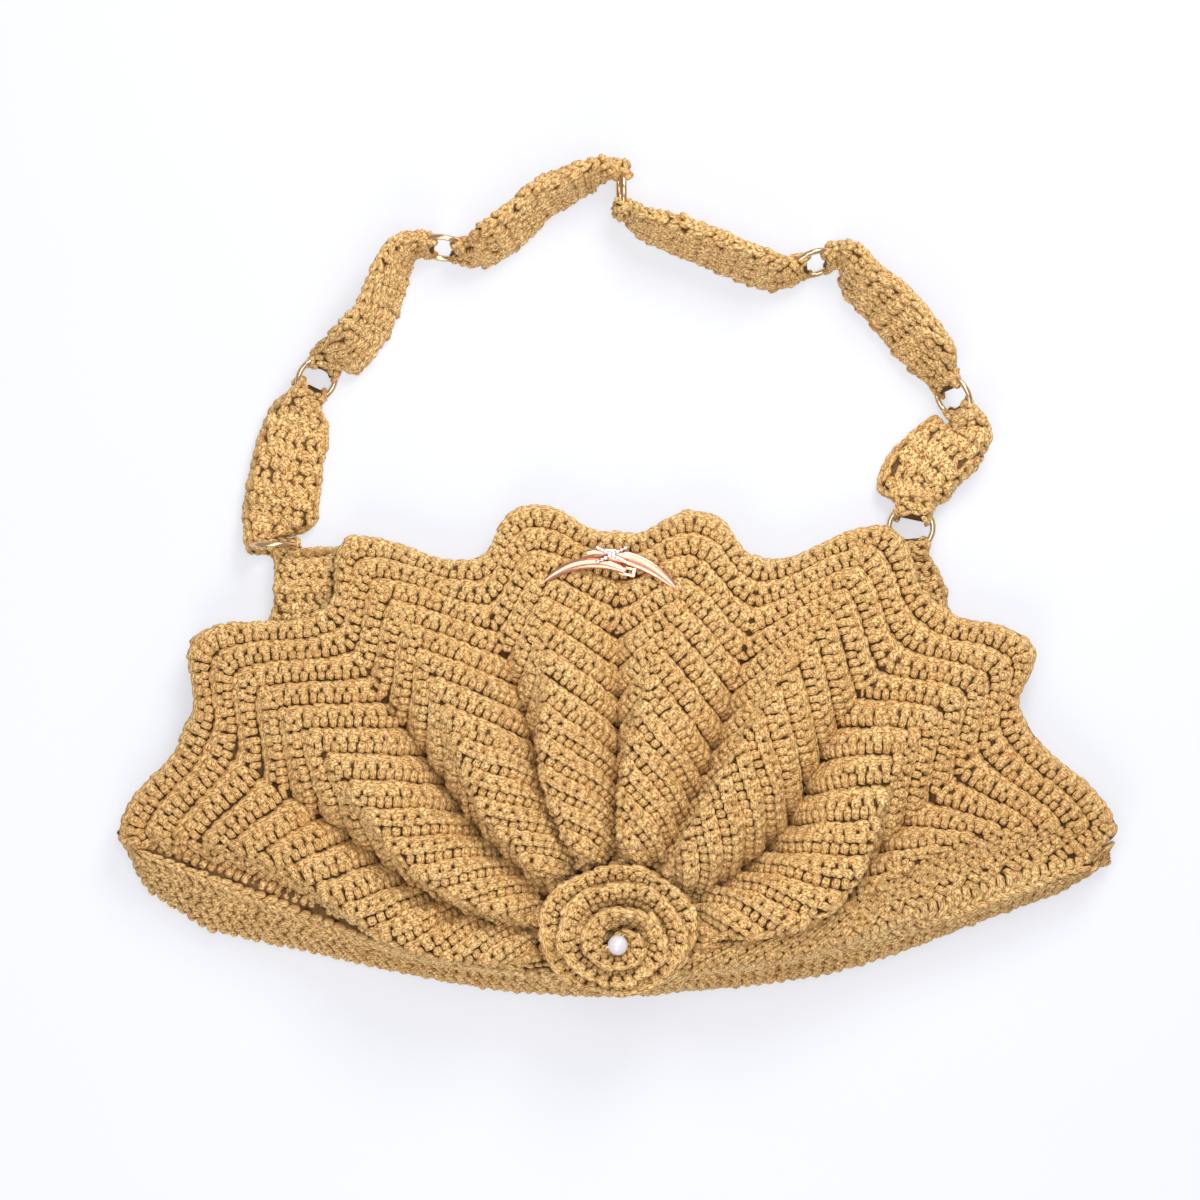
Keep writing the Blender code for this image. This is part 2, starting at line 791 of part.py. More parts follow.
def build_tab(name, rows, grip, cutter, material, collection):
    """Builds a side tab: from its ring down between the two panels, lying on the back one."""
    run = Vector((0.0, -1.0, 0.0))
    sections = grip_sections(grip, True)
    for row in rows:
        place = fan_point(row.across, row.up)
        width = row.width * TAB_WIDTH
        lift = BACK_WALL + PIECE_GAP
        sections.append(laid_section(place, run, 0.0, width, TAB_THICKNESS, lift))
    return build_band(name, sections, [cutter], material, collection)


# The brooch


def crescent(name, start, end, root_width, material, collection):
    """Builds one tapered, bowed arm of the brooch from its root to its tip."""
    steps = 6
    loops = []
    run = (end - start).normalized()
    side = Vector((-run.y, run.x, 0.0)).normalized()
    bow_way = side if side.y > 0 else -side
    for step in range(steps + 1):
        t = step / steps
        bow = bow_way * 0.18 * BROOCH_SPAN / 2 * math.sin(math.pi * t) * (1 - 0.3 * t)
        width = root_width * (1 - 0.8 * t**1.5)
        thickness = BROOCH_THICKNESS * (1 - 0.5 * t)
        loops.append(section_loop(Section(start.lerp(end, t) + bow, side, run, width, thickness)))
    return loft(name, loops, material, collection)


def brooch_stones(middle, material, collection):
    """Builds the cross of cut stones on the brooch's middle and returns the loose stones."""
    stones = []
    for slope in (-1, 1):
        for step in range(STONES_A_STRAND):
            share = (step + 0.5) / STONES_A_STRAND - 0.5
            offset = Vector((share, slope * 0.5 * share, 0.0)) * STONE_STRAND
            bpy.ops.mesh.primitive_cone_add(
                vertices=8,
                radius1=STONE_DIAMETER / 2,
                radius2=STONE_DIAMETER * 0.3,
                depth=STONE_DIAMETER * 0.8,
                location=middle + offset + Vector((0.0, 0.0, BROOCH_THICKNESS * 0.6)),
            )
            stones.append(adopt(bpy.context.object, f"stone_{slope}_{step}", material, collection))
    return stones


def build_brooch(material, collection, cutters):
    """Builds the pinned brooch: two crossed crescents, a cross of stones and a plain pin."""
    middle = fan_point(-0.014, 0.896)
    middle.z = crest_height(0.88) - BROOCH_BED + BROOCH_THICKNESS / 2
    tip_height = crest_height(0.80) + PIECE_GAP + BROOCH_THICKNESS / 4
    half_span = BROOCH_SPAN / 2
    tip_left = Vector((middle.x - half_span, middle.y - BROOCH_DROP, tip_height))
    tip_right = Vector((middle.x + half_span, middle.y - 1.2 * BROOCH_DROP, tip_height))
    root_left = middle + Vector((0.18 * half_span, -0.4 * BROOCH_WIDTH, 0.0))
    root_right = middle + Vector((-0.22 * half_span, 0.5 * BROOCH_WIDTH, 0.3 * BROOCH_THICKNESS))
    body = crescent("brooch", root_left, tip_left, 0.8 * BROOCH_WIDTH, material, collection)
    parts = [crescent("brooch_arm", root_right, tip_right, BROOCH_WIDTH, material, cutters)]
    parts += brooch_stones(middle, material, cutters)
    bpy.ops.mesh.primitive_cube_add(size=1.0)
    pin = adopt(bpy.context.object, "brooch_pin", material, cutters)
    pin.scale = (0.5 * half_span, 0.3 * BROOCH_WIDTH, BROOCH_THICKNESS)
    pin.location = middle - Vector((0.0, 0.0, 0.8 * BROOCH_THICKNESS))
    parts.append(pin)
    for part in parts:
        part.hide_render = True
        part.display_type = "WIRE"
        join = body.modifiers.new(part.name, "BOOLEAN")
        join.operation = "UNION"
        join.object = part
    return body


# The whole bag


def centre_on_surface(collection, cutters):
    """Moves the finished bag so that its box stands centred over the origin."""
    bpy.context.view_layer.update()
    graph = bpy.context.evaluated_depsgraph_get()
    corners = []
    for item in collection.objects:
        shape = item.evaluated_get(graph).to_mesh()
        corners += [item.matrix_world @ vertex.co for vertex in shape.vertices]
    low = Vector(min(corner[axis] for corner in corners) for axis in range(3))
    high = Vector(max(corner[axis] for corner in corners) for axis in range(3))
    shift = Vector(((low.x + high.x) / 2, (low.y + high.y) / 2, low.z))
    for item in list(collection.objects) + list(cutters.objects):
        item.location -= shift


def main():
    """Builds every piece of the bag."""
    clear_scene()
    bag = new_collection("crocheted_handbag")
    cutters = new_collection("cutters")
    crochet = new_material("golden crochet", (0.62, 0.36, 0.09), 0.6)
    gold = new_material("pale gold", (0.80, 0.62, 0.33), 0.25, 1.0)
    rose_gold = new_material("rose gold", (0.85, 0.50, 0.36), 0.2, 1.0)
    pearl = new_material("white pearl", (0.86, 0.84, 0.82), 0.2)
    build_back_panel(crochet, bag)
    build_front_panel(crochet, bag)
    build_gusset(crochet, bag)
    build_rosette(crochet, bag)
    build_pearl(pearl, bag)
    clearing = build_rings(gold, bag, cutters)
    build_strap(crochet, bag, clearing)
    left_grip = ring_grip(0, LEFT_TAB_HOLD)
    right_grip = ring_grip(len(RINGS) - 1, RIGHT_TAB_HOLD)
    build_tab("left_tab", LEFT_TAB, left_grip, clearing[0], crochet, bag)
    build_tab("right_tab", RIGHT_TAB, right_grip, clearing[-1], crochet, bag)
    build_brooch(rose_gold, bag, cutters)
    centre_on_surface(bag, cutters)


main()
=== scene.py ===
"""Looks of the crocheted fan handbag: every stitch row, the pale gold rings, the brooch and pearl.

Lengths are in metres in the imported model's frame, with the bag lying on its back. Places on the
fan are shares of its named sizes, the same as in the construction, and each crochet piece is a
thin shell that carries its stitches as joined meshes.
"""

import logging
import math
from dataclasses import dataclass, field
from enum import Enum
from typing import Callable, Optional, Sequence, Union

import bmesh
import bpy
import numpy as np
from mathutils import Matrix, Vector


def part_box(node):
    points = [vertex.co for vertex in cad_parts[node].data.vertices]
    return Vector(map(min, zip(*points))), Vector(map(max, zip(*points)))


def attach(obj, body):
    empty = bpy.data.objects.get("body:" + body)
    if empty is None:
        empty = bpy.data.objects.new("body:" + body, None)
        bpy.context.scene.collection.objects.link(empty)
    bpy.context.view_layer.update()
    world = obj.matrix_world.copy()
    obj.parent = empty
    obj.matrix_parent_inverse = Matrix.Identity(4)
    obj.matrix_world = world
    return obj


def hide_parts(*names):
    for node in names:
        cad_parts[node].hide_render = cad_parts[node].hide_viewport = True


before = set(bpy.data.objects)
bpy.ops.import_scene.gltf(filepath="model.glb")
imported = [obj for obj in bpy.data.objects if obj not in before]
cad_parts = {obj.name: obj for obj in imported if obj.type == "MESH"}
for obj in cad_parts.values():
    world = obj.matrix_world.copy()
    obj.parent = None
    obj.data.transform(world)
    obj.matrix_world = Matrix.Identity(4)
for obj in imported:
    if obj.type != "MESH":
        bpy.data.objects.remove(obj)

LOG = logging.getLogger("handbag")
BODY = "root"
ORIGIN = (0.0, 0.0, 0.0)
UP = Vector((0.0, 0.0, 1.0))
Colour = Union[str, bpy.types.NodeSocket]


class Overhang(Enum):
    """The side to which a pleat's crest leans over its valley."""

    BEFORE = 1.0
    AFTER = -1.7


class Face(Enum):
    """The side of a crochet band on which a row of stitches lies."""

    UPPER = 1.0
    LOWER = -1.0


# Small helpers for numbers


def smooth_step(share: np.ndarray) -> np.ndarray:
    """Returns eased shares, held between 0 and 1."""
    share = np.clip(share, 0.0, 1.0)
    return share * share * (3 - 2 * share)


def normalised(vectors: np.ndarray) -> np.ndarray:
    """Returns vectors of length one along the last axis."""
    return vectors / np.maximum(np.linalg.norm(vectors, axis=-1, keepdims=True), 1e-12)


def catmull_rom(points: np.ndarray, share: np.ndarray) -> np.ndarray:
    """Reads a smooth curve through evenly spaced points.

    Args:
        points: the curve's points, (count, dimensions), or one such set for each share.
        share: shares of the way along, one for each place wanted.

    Returns:
        One place for each share.
    """
    if points.ndim == 2:
        points = np.broadcast_to(points, (len(share), *points.shape))
    last = points.shape[1] - 1
    ends = np.concatenate(
        [2 * points[:, :1] - points[:, 1:2], points, 2 * points[:, -1:] - points[:, -2:-1]], axis=1
    )
    position = np.asarray(share) * last
    index = np.clip(position.astype(int), 0, last - 1)
    t = (position - index)[:, None]
    rows = np.arange(len(index))
    before, start, end, after = (ends[rows, index + step] for step in range(4))
    return (
        before * (-t + 2 * t**2 - t**3) / 2
        + start * (2 - 5 * t**2 + 3 * t**3) / 2
        + end * (t + 4 * t**2 - 3 * t**3) / 2
        + after * (-(t**2) + t**3) / 2
    )


# Finishes


def to_linear(colour: str) -> tuple[float, float, float, float]:
    """Turns an sRGB hex colour into linear red, green, blue and an alpha of 1."""
    parts = (int(colour[place : place + 2], 16) / 255 for place in (1, 3, 5))
    linear = [part / 12.92 if part <= 0.04045 else ((part + 0.055) / 1.055) ** 2.4 for part in parts]
    return (*linear, 1.0)


def add_node(tree: bpy.types.NodeTree, kind: str, settings: dict, links: dict) -> bpy.types.Node:
    """Adds one node to a material.

    Args:
        tree: the material's node tree.
        kind: the node's type name.
        settings: attribute names, or input names and numbers, with their values.
        links: input names or numbers, each with the output socket that feeds it.

    Returns:
        The new node.
    """
    node = tree.nodes.new(kind)
    for name, value in settings.items():
        if isinstance(name, str) and hasattr(node, name):
            setattr(node, name, value)
        else:
            node.inputs[name].default_value = value
    for name, socket in links.items():
        tree.links.new(socket, node.inputs[name])
    return node


def new_finish(name: str, settings: dict) -> tuple[bpy.types.Material, bpy.types.Node]:
    """Makes a material with the given constants on its Principled shader.

    Args:
        name: the material's name.
        settings: the shader's input names with their values.

    Returns:
        The material and its shader.
    """
    material = bpy.data.materials.new(name)
    material.use_nodes = True
    shader = material.node_tree.nodes["Principled BSDF"]
    for socket, value in settings.items():
        shader.inputs[socket].default_value = value
    return material, shader


def mix_colours(
    tree: bpy.types.NodeTree, share: bpy.types.NodeSocket, start: Colour, end: Colour
) -> bpy.types.NodeSocket:
    """Adds a node that mixes two colours, each a hex code or another node's socket.

    Args:
        tree: the material's node tree.
        share: the share of the second colour.
        start: the first colour.
        end: the second colour.

    Returns:
        The mixed colour.
    """
    settings, links = {"data_type": "RGBA"}, {0: share}
    for place, colour in ((6, start), (7, end)):
        if isinstance(colour, str):
            settings[place] = to_linear(colour)
        else:
            links[place] = colour
    return add_node(tree, "ShaderNodeMix", settings, links).outputs[2]


def add_texture(tree: bpy.types.NodeTree, settings: dict, kind: str = "ShaderNodeTexNoise") -> bpy.types.Node:
    """Adds a texture in the object's own metres, a noise unless told otherwise."""
    where = add_node(tree, "ShaderNodeTexCoord", {}, {})
    return add_node(tree, kind, settings, {"Vector": where.outputs["Object"]})


def add_bump(
    shader: bpy.types.Node,
    tree: bpy.types.NodeTree,
    strength: float,
    depth: float,
    height: bpy.types.NodeSocket,
) -> None:
    """Roughens a shader's surface by a height."""
    bump = add_node(tree, "ShaderNodeBump", {"Strength": strength, "Distance": depth}, {"Height": height})
    tree.links.new(bump.outputs["Normal"], shader.inputs["Normal"])


@dataclass(frozen=True)
class YarnFinish:
    """Chainette viscose yarn, crocheted: a soft sheen, and strokes where its knit tube turns, painted bright
    on the loops with painted shade between them.

    The tube's own loops are about 0.4 mm apart, too fine for the picture, so they are drawn as
    fewer strokes, counted round half a strand and along it. The stitches' tone attribute holds a
    random tone times painted shade, which darkens what lies deep between them and, on the front, in the
    valleys.
    """

    name: str
    light: str
    middle: str
    deep: str
    strokes: tuple[float, float] = (11.0, 5.0)
    stroke_depth: float = 0.0005
    stroke_strength: float = 0.8
    patch_size: float = 0.022
    roughness: float = 0.6
    sheen: float = 0.2

    def build(self) -> bpy.types.Material:
        """Makes the yarn's material.

        Returns:
            The material, with strokes across the strand that paint shade between the loops, a colour that
            drifts in patches, and painted shade read from the stitches' tone attribute.
        """
        settings = {
            "Roughness": self.roughness,
            "Sheen Weight": self.sheen,
            "Sheen Roughness": 0.4,
            "Sheen Tint": to_linear(self.light),
            "Specular IOR Level": 0.4,
        }
        material, shader = new_finish(self.name, settings)
        tree = material.node_tree
        strand = add_node(tree, "ShaderNodeUVMap", {"uv_map": "strand"}, {}).outputs["UV"]
        drawn = add_node(tree, "ShaderNodeMapping", {"Scale": (*self.strokes, 1.0)}, {"Vector": strand})
        grain = {"Scale": 1.0, "Detail": 1.5, "Roughness": 0.6, "Distortion": 0.9}
        noise = add_node(tree, "ShaderNodeTexNoise", grain, {"Vector": drawn.outputs["Vector"]})
        strokes = noise.outputs["Fac"]
        sharp = add_node(tree, "ShaderNodeMapRange", {"From Min": 0.42, "From Max": 0.57}, {"Value": strokes})
        patches = add_texture(tree, {"Scale": 1 / self.patch_size, "Detail": 3.0})
        tone_and_painted_shade = add_node(tree, "ShaderNodeAttribute", {"attribute_name": "tone_and_painted_shade"}, {})
        ground = mix_colours(tree, patches.outputs["Fac"], self.middle, self.light)
        # Painted shade: the strokes darken the yarn towards its deep colour between the knit tube's loops
        stroked = mix_colours(tree, sharp.outputs["Result"], self.deep, ground)
        # Painted shade: the tone attribute darkens the yarn towards its deep colour
        shaded = mix_colours(tree, tone_and_painted_shade.outputs["Fac"], self.deep, stroked)
        tree.links.new(shaded, shader.inputs["Base Color"])
        add_bump(shader, tree, self.stroke_strength, self.stroke_depth, strokes)
        return material


@dataclass(frozen=True)
class MetalFinish:
    """Plated brass, polished: bright and smooth, with the faint haze and scratches of handling."""

    name: str
    colour: str
    worn: str
    roughness: float
    haze_size: float = 0.004
    scratch_size: float = 0.0008
    scratch_strength: float = 0.08

    def build(self) -> bpy.types.Material:
        """Makes the metal's material.

        Returns:
            The material, with its roughness and colour drifting over the surface.
        """
        material, shader = new_finish(self.name, {"Metallic": 1.0})
        tree = material.node_tree
        haze = add_texture(tree, {"Scale": 1 / self.haze_size}).outputs["Fac"]
        scratches = add_texture(tree, {"Scale": 1 / self.scratch_size}).outputs["Fac"]
        span = {"To Min": self.roughness * 0.7, "To Max": self.roughness * 1.4}
        rough = add_node(tree, "ShaderNodeMapRange", span, {"Value": haze})
        tree.links.new(rough.outputs["Result"], shader.inputs["Roughness"])
        tree.links.new(mix_colours(tree, haze, self.colour, self.worn), shader.inputs["Base Color"])
        add_bump(shader, tree, self.scratch_strength, self.scratch_size * 0.1, scratches)
        return material


@dataclass(frozen=True)
class CloudedFinish:
    """A smooth finish whose colour drifts between two tones, in clouds or in a cut stone's cells."""

    name: str
    first: str
    second: str
    scale: float
    settings: dict
    cells: bool = False

    def build(self) -> bpy.types.Material:
        """Makes the material.

        Returns:
            The material, with the given constants on its shader.
        """
        material, shader = new_finish(self.name, self.settings)
        tree = material.node_tree
        kind, output = ("ShaderNodeTexVoronoi", "Distance") if self.cells else ("ShaderNodeTexNoise", "Fac")
        drift = add_texture(tree, {"Scale": self.scale}, kind).outputs[output]
        tree.links.new(mix_colours(tree, drift, self.first, self.second), shader.inputs["Base Color"])
        return material


# The deep colour is painted shade, between the knit loops and deep between the stitches
YARN = YarnFinish("crocheted golden yarn", "#FFE3A4", "#F8CA80", "#A26724")
# Painted shade: a dark brown shell under the stitches, so that the gaps between them read as shadow
SHADED_INNER_YARN = YarnFinish("golden yarn painted in shade between the stitches", "#8C6230", "#765026", "#543716", sheen=0.0)
THREAD = YarnFinish("white sewing thread", "#F6F3F0", "#E9E5E1", "#CFCAC6")
PALE_GOLD = MetalFinish("polished pale gold plate", "#E4C7A0", "#CFAD84", 0.18)
ROSE_GOLD = MetalFinish("polished rose gold plate", "#E6AE97", "#D6967C", 0.24)
# A milky body under a smooth coat
PEARL = CloudedFinish(
    "lacquered glass pearl",
    "#D3CCCF",
    "#E2DDDE",
    400.0,
    {"Roughness": 0.24, "Coat Weight": 0.8, "Coat Roughness": 0.06},
)
# Painted glints: facets painted in cells of white and grey where real ones would flash, over a foiled back,
# never see-through
STONE = CloudedFinish(
    "foil-backed cut crystal",
    "#FFFFFF",
    "#B9C0CC",
    1400.0,
    {"Roughness": 0.05, "Metallic": 0.55, "Coat Weight": 1.0},
    cells=True,
)
# A table lit from below, nearly white, so that shadows on it stay faint
LIGHT_TABLE = CloudedFinish(
    "opal acrylic light table",
    "#9C9DA2",
    "#97989D",
    6.0,
    {
        "Roughness": 0.9,
        "Specular IOR Level": 0.1,
        "Emission Color": to_linear("#F6F7FC"),
        "Emission Strength": 0.60,
    },
)


@dataclass
class Palette:
    """The finishes of the whole bag, made once."""

    yarn: bpy.types.Material = field(default_factory=YARN.build)
    shaded_inner_yarn: bpy.types.Material = field(default_factory=SHADED_INNER_YARN.build)
    pale_gold: bpy.types.Material = field(default_factory=PALE_GOLD.build)
    rose_gold: bpy.types.Material = field(default_factory=ROSE_GOLD.build)
    pearl: bpy.types.Material = field(default_factory=PEARL.build)
    thread: bpy.types.Material = field(default_factory=THREAD.build)
    stone: bpy.types.Material = field(default_factory=STONE.build)
    light_table: bpy.types.Material = field(default_factory=LIGHT_TABLE.build)


# Mesh tools


def finish_object(
    name: str, mesh: bpy.types.Mesh, material: bpy.types.Material, slot: Optional[str]
) -> bpy.types.Object:
    """Makes a finished mesh into a piece of the bag.

    Args:
        name: the piece's name.
        mesh: its mesh, in place.
        material: its finish.
        slot: a material slot's name, only told apart from None, which marks a thing that isn't part of the
            bag.

    Returns:
        The new object, riding on the bag's body where it has a slot.
    """
    mesh.materials.append(material)
    item = bpy.data.objects.new(name, mesh)
    bpy.context.scene.collection.objects.link(item)
    if slot is not None:
        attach(item, BODY)
        LOG.info("%s: %d faces", name, len(mesh.polygons))
    return item


def mesh_from(shape: bmesh.types.BMesh, name: str, smooth: bool = True) -> bpy.types.Mesh:
    """Writes a bmesh to a new mesh and frees it.

    Args:
        shape: the bmesh.
        name: the mesh's name.
        smooth: whether its faces are shaded smooth.

    Returns:
        The new mesh.
    """
    mesh = bpy.data.meshes.new(name)
    for face in shape.faces:
        face.smooth = smooth
    shape.to_mesh(mesh)
    shape.free()
    return mesh


def grid_mesh(
    name: str, steps: tuple[int, int], place: Callable[[np.ndarray, np.ndarray], np.ndarray]
) -> bpy.types.Mesh:
    """Makes a sheet: a grid whose vertices are moved onto a surface.

    Args:
        name: the mesh's name.
        steps: how many faces it has along its first and second share.
        place: the surface, from arrays of the two shares between 0 and 1 to places.

    Returns:
        The mesh, with its shares as its UV map and facing along first crossed with second.
    """
    shape = bmesh.new()
    layer = shape.loops.layers.uv.new("strand")
    bmesh.ops.create_grid(shape, x_segments=steps[0], y_segments=steps[1], size=1.0)
    flat = np.array([vert.co for vert in shape.verts])
    first, second = (flat[:, 0] + 1) / 2, (flat[:, 1] + 1) / 2
    for vert, spot in zip(shape.verts, place(first, second)):
        u, v = (vert.co.x + 1) / 2, (vert.co.y + 1) / 2
        for loop in vert.link_loops:
            loop[layer].uv = (u * steps[0], v * steps[1])
        vert.co = spot
    mesh = mesh_from(shape, name)
    add_tone_and_shade(mesh, np.ones(len(mesh.vertices)))
    return mesh


def add_tone_and_shade(mesh: bpy.types.Mesh, tones_with_shade: np.ndarray) -> None:
    """Stores the brightness of each vertex, a random tone times painted shade, as the attribute that the yarn
    reads.
    """
    attribute = mesh.attributes.new("tone_and_painted_shade", "FLOAT", "POINT")
    attribute.data.foreach_set("value", tones_with_shade.astype(np.float32))


def walled_shell(
    name: str, mesh: bpy.types.Mesh, material: bpy.types.Material, thickness: float
) -> bpy.types.Object:
    """Makes a crochet piece's shell from a sheet.

    Args:
        name: the piece's name.
        mesh: the sheet.
        material: its finish.
        thickness: its wall, on the side away from the sheet's face.

    Returns:
        The shell.
    """
    item = finish_object(name, mesh, material, "golden_crochet")
    wall = item.modifiers.new("wall", "SOLIDIFY")
    wall.thickness = thickness
    wall.offset = -1.0
    return item


def tube_mesh(
    name: str,
    route: Sequence[Vector],
    sizes: Sequence[tuple[float, float]],
    up: Vector,
    sides: int = 12,
) -> bpy.types.Mesh:
    """Extrudes an oval section along a route, closed at both ends.

    Args:
        name: the mesh's name.
        route: the middle of each section.
        sizes: the half width and half depth of each section.
        up: the way of the sections' depth.
        sides: the points round the section.

    Returns:
        The mesh, facing out.
    """
    shape = bmesh.new()
    ring = bmesh.ops.create_circle(shape, cap_ends=False, segments=sides, radius=1.0)["verts"]
    clock = [vert.co.copy() for vert in ring]
    for index, (centre, size) in enumerate(zip(route, sizes)):
        ahead = route[min(index + 1, len(route) - 1)] - route[max(index - 1, 0)]
        side = ahead.cross(up).normalized()
        depth = side.cross(ahead).normalized()
        if index:
            edges = list({edge for vert in ring for edge in vert.link_edges if edge.other_vert(vert) in ring})
            made = bmesh.ops.extrude_edge_only(shape, edges=edges)["geom"]
            fresh = [item for item in made if isinstance(item, bmesh.types.BMVert)]
            ring = [min(fresh, key=lambda new: (new.co - vert.co).length) for vert in ring]
        for vert, mark in zip(ring, clock):
            vert.co = centre + side * mark.x * size[0] + depth * mark.y * size[1]
    bmesh.ops.holes_fill(shape, edges=shape.edges, sides=sides)
    bmesh.ops.recalc_face_normals(shape, faces=shape.faces)
    mesh = mesh_from(shape, name)
    mesh.set_sharp_from_angle(angle=math.radians(50))
    return mesh


@dataclass(frozen=True)
class Stitch:
    """One stitch's shape as arrays, one unit long, wide and tall about its middle."""

    points: np.ndarray
    corners: np.ndarray
    starts: np.ndarray
    totals: np.ndarray
    marks: np.ndarray

    @classmethod
    def from_strands(cls, strands: Sequence["Strand"]) -> "Stitch":
        """Builds a stitch from its strands.

        Args:
            strands: the strands, each a short fat stretch of yarn.

        Returns:
            The stitch.
        """
        shape = bmesh.new()
        layer = shape.loops.layers.uv.new("strand")
        for strand in strands:
            made = bmesh.ops.create_uvsphere(
                shape, u_segments=strand.round_steps, v_segments=strand.long_steps, radius=0.5
            )["verts"]
            for vert in made:
                u = math.atan2(vert.co.y, vert.co.x) / (2 * math.pi)
                for loop in vert.link_loops:
                    loop[layer].uv = (u * 2, vert.co.z)
            for vert in made:
                vert.co = strand.placed(vert.co)
        shape.verts.index_update()
        points = np.array([vert.co for vert in shape.verts])
        loops = [loop for face in shape.faces for loop in face.loops]
        corners = np.array([loop.vert.index for loop in loops])
        marks = np.array([loop[layer].uv for loop in loops])
        totals = np.array([len(face.loops) for face in shape.faces])
        shape.free()
        return cls(points, corners, np.concatenate([[0], np.cumsum(totals)[:-1]]), totals, marks)


@dataclass(frozen=True)
class Strand:
    """A stretch of yarn inside a stitch: its size, middle, turn and bend, in stitch units.

    It starts as a sphere whose long way becomes x (along the row) or y (across it).
    """

    size: tuple[float, float, float]
    middle: tuple[float, float, float] = (0.0, 0.0, 0.0)
    turn: float = 0.0
    bend: float = 0.0
    squareness: float = 0.3
    round_steps: int = 6
    long_steps: int = 4

    def placed(self, spot: Vector) -> Vector:
        """Returns where a point of the starting sphere goes."""
        along, across, tall = spot.z, spot.x, spot.y
        reach = max(abs(along), abs(across), 1e-6)
        swell = 1 + self.squareness * (math.hypot(along, across) / reach - 1)
        local = Vector((along * self.size[0] * swell, across * self.size[1] * swell, tall * self.size[2]))
        local.y += self.bend * (1 - 4 * along * along)
        turned = Matrix.Rotation(math.radians(self.turn), 3, "Z") @ local
        return turned + Vector(self.middle)


# A braided link of two crossing legs; a stitch's squarish head under its smooth cap; an upright
# post; an oval bead; a knot of one loop lying over another; and a round edge loop
CHAIN = Stitch.from_strands(
    (
        Strand((1.45, 0.62, 1.0), (0.0, 0.19, 0.0), turn=-20.0, bend=0.06),
        Strand((1.40, 0.62, 0.95), (0.25, -0.19, -0.03), turn=21.0, bend=-0.06),
    )
)
HEAD = Stitch.from_strands(
    (
        Strand((1.50, 0.64, 0.96), (0.0, 0.17, 0.0), turn=-8.0, bend=0.05),
        Strand((0.88, 0.66, 1.06), (0.0, -0.19, 0.0), turn=4.0, squareness=0.6, round_steps=8),
    )
)
POST = Stitch.from_strands((Strand((1.06, 1.06, 1.0), turn=80.0, bend=0.08, squareness=0.4),))
BEAD = Stitch.from_strands((Strand((1.16, 1.08, 1.0), turn=-14.0, bend=0.10, squareness=0.5),))
KNOT = Stitch.from_strands(
    (
        Strand((1.05, 0.70, 0.95), (-0.06, 0.17, -0.02), turn=22.0, bend=0.10),
        Strand((0.98, 0.66, 1.02), (0.10, -0.20, 0.02), turn=-24.0, bend=-0.10),
    )
)
SHELL_LOOP = Stitch.from_strands((Strand((1.12, 0.95, 1.0), turn=20.0, bend=0.16, long_steps=5),))
STITCHES = {"post": POST, "bead": BEAD, "head": HEAD, "chain": CHAIN, "knot": KNOT, "loop": SHELL_LOOP}

# Shares of a row's pitch: the width at which a stitch is full, and its least and greatest length
FULL_WIDTH = 0.6
LEAST_LENGTH = 0.3
GREATEST_LENGTH = 1.1
# The least share of its height that a stitch has on a narrow row
LEAST_FULLNESS = 0.35
# How much stitches differ in tone at random, and the painted shade on what lies deep in a stitch: its darkest
# tone, start and reach
TONE_SPREAD = 0.14
DEEP_PAINTED_SHADE = 0.34
DEEP_SHADE_START = -0.42
DEEP_SHADE_REACH = 0.76


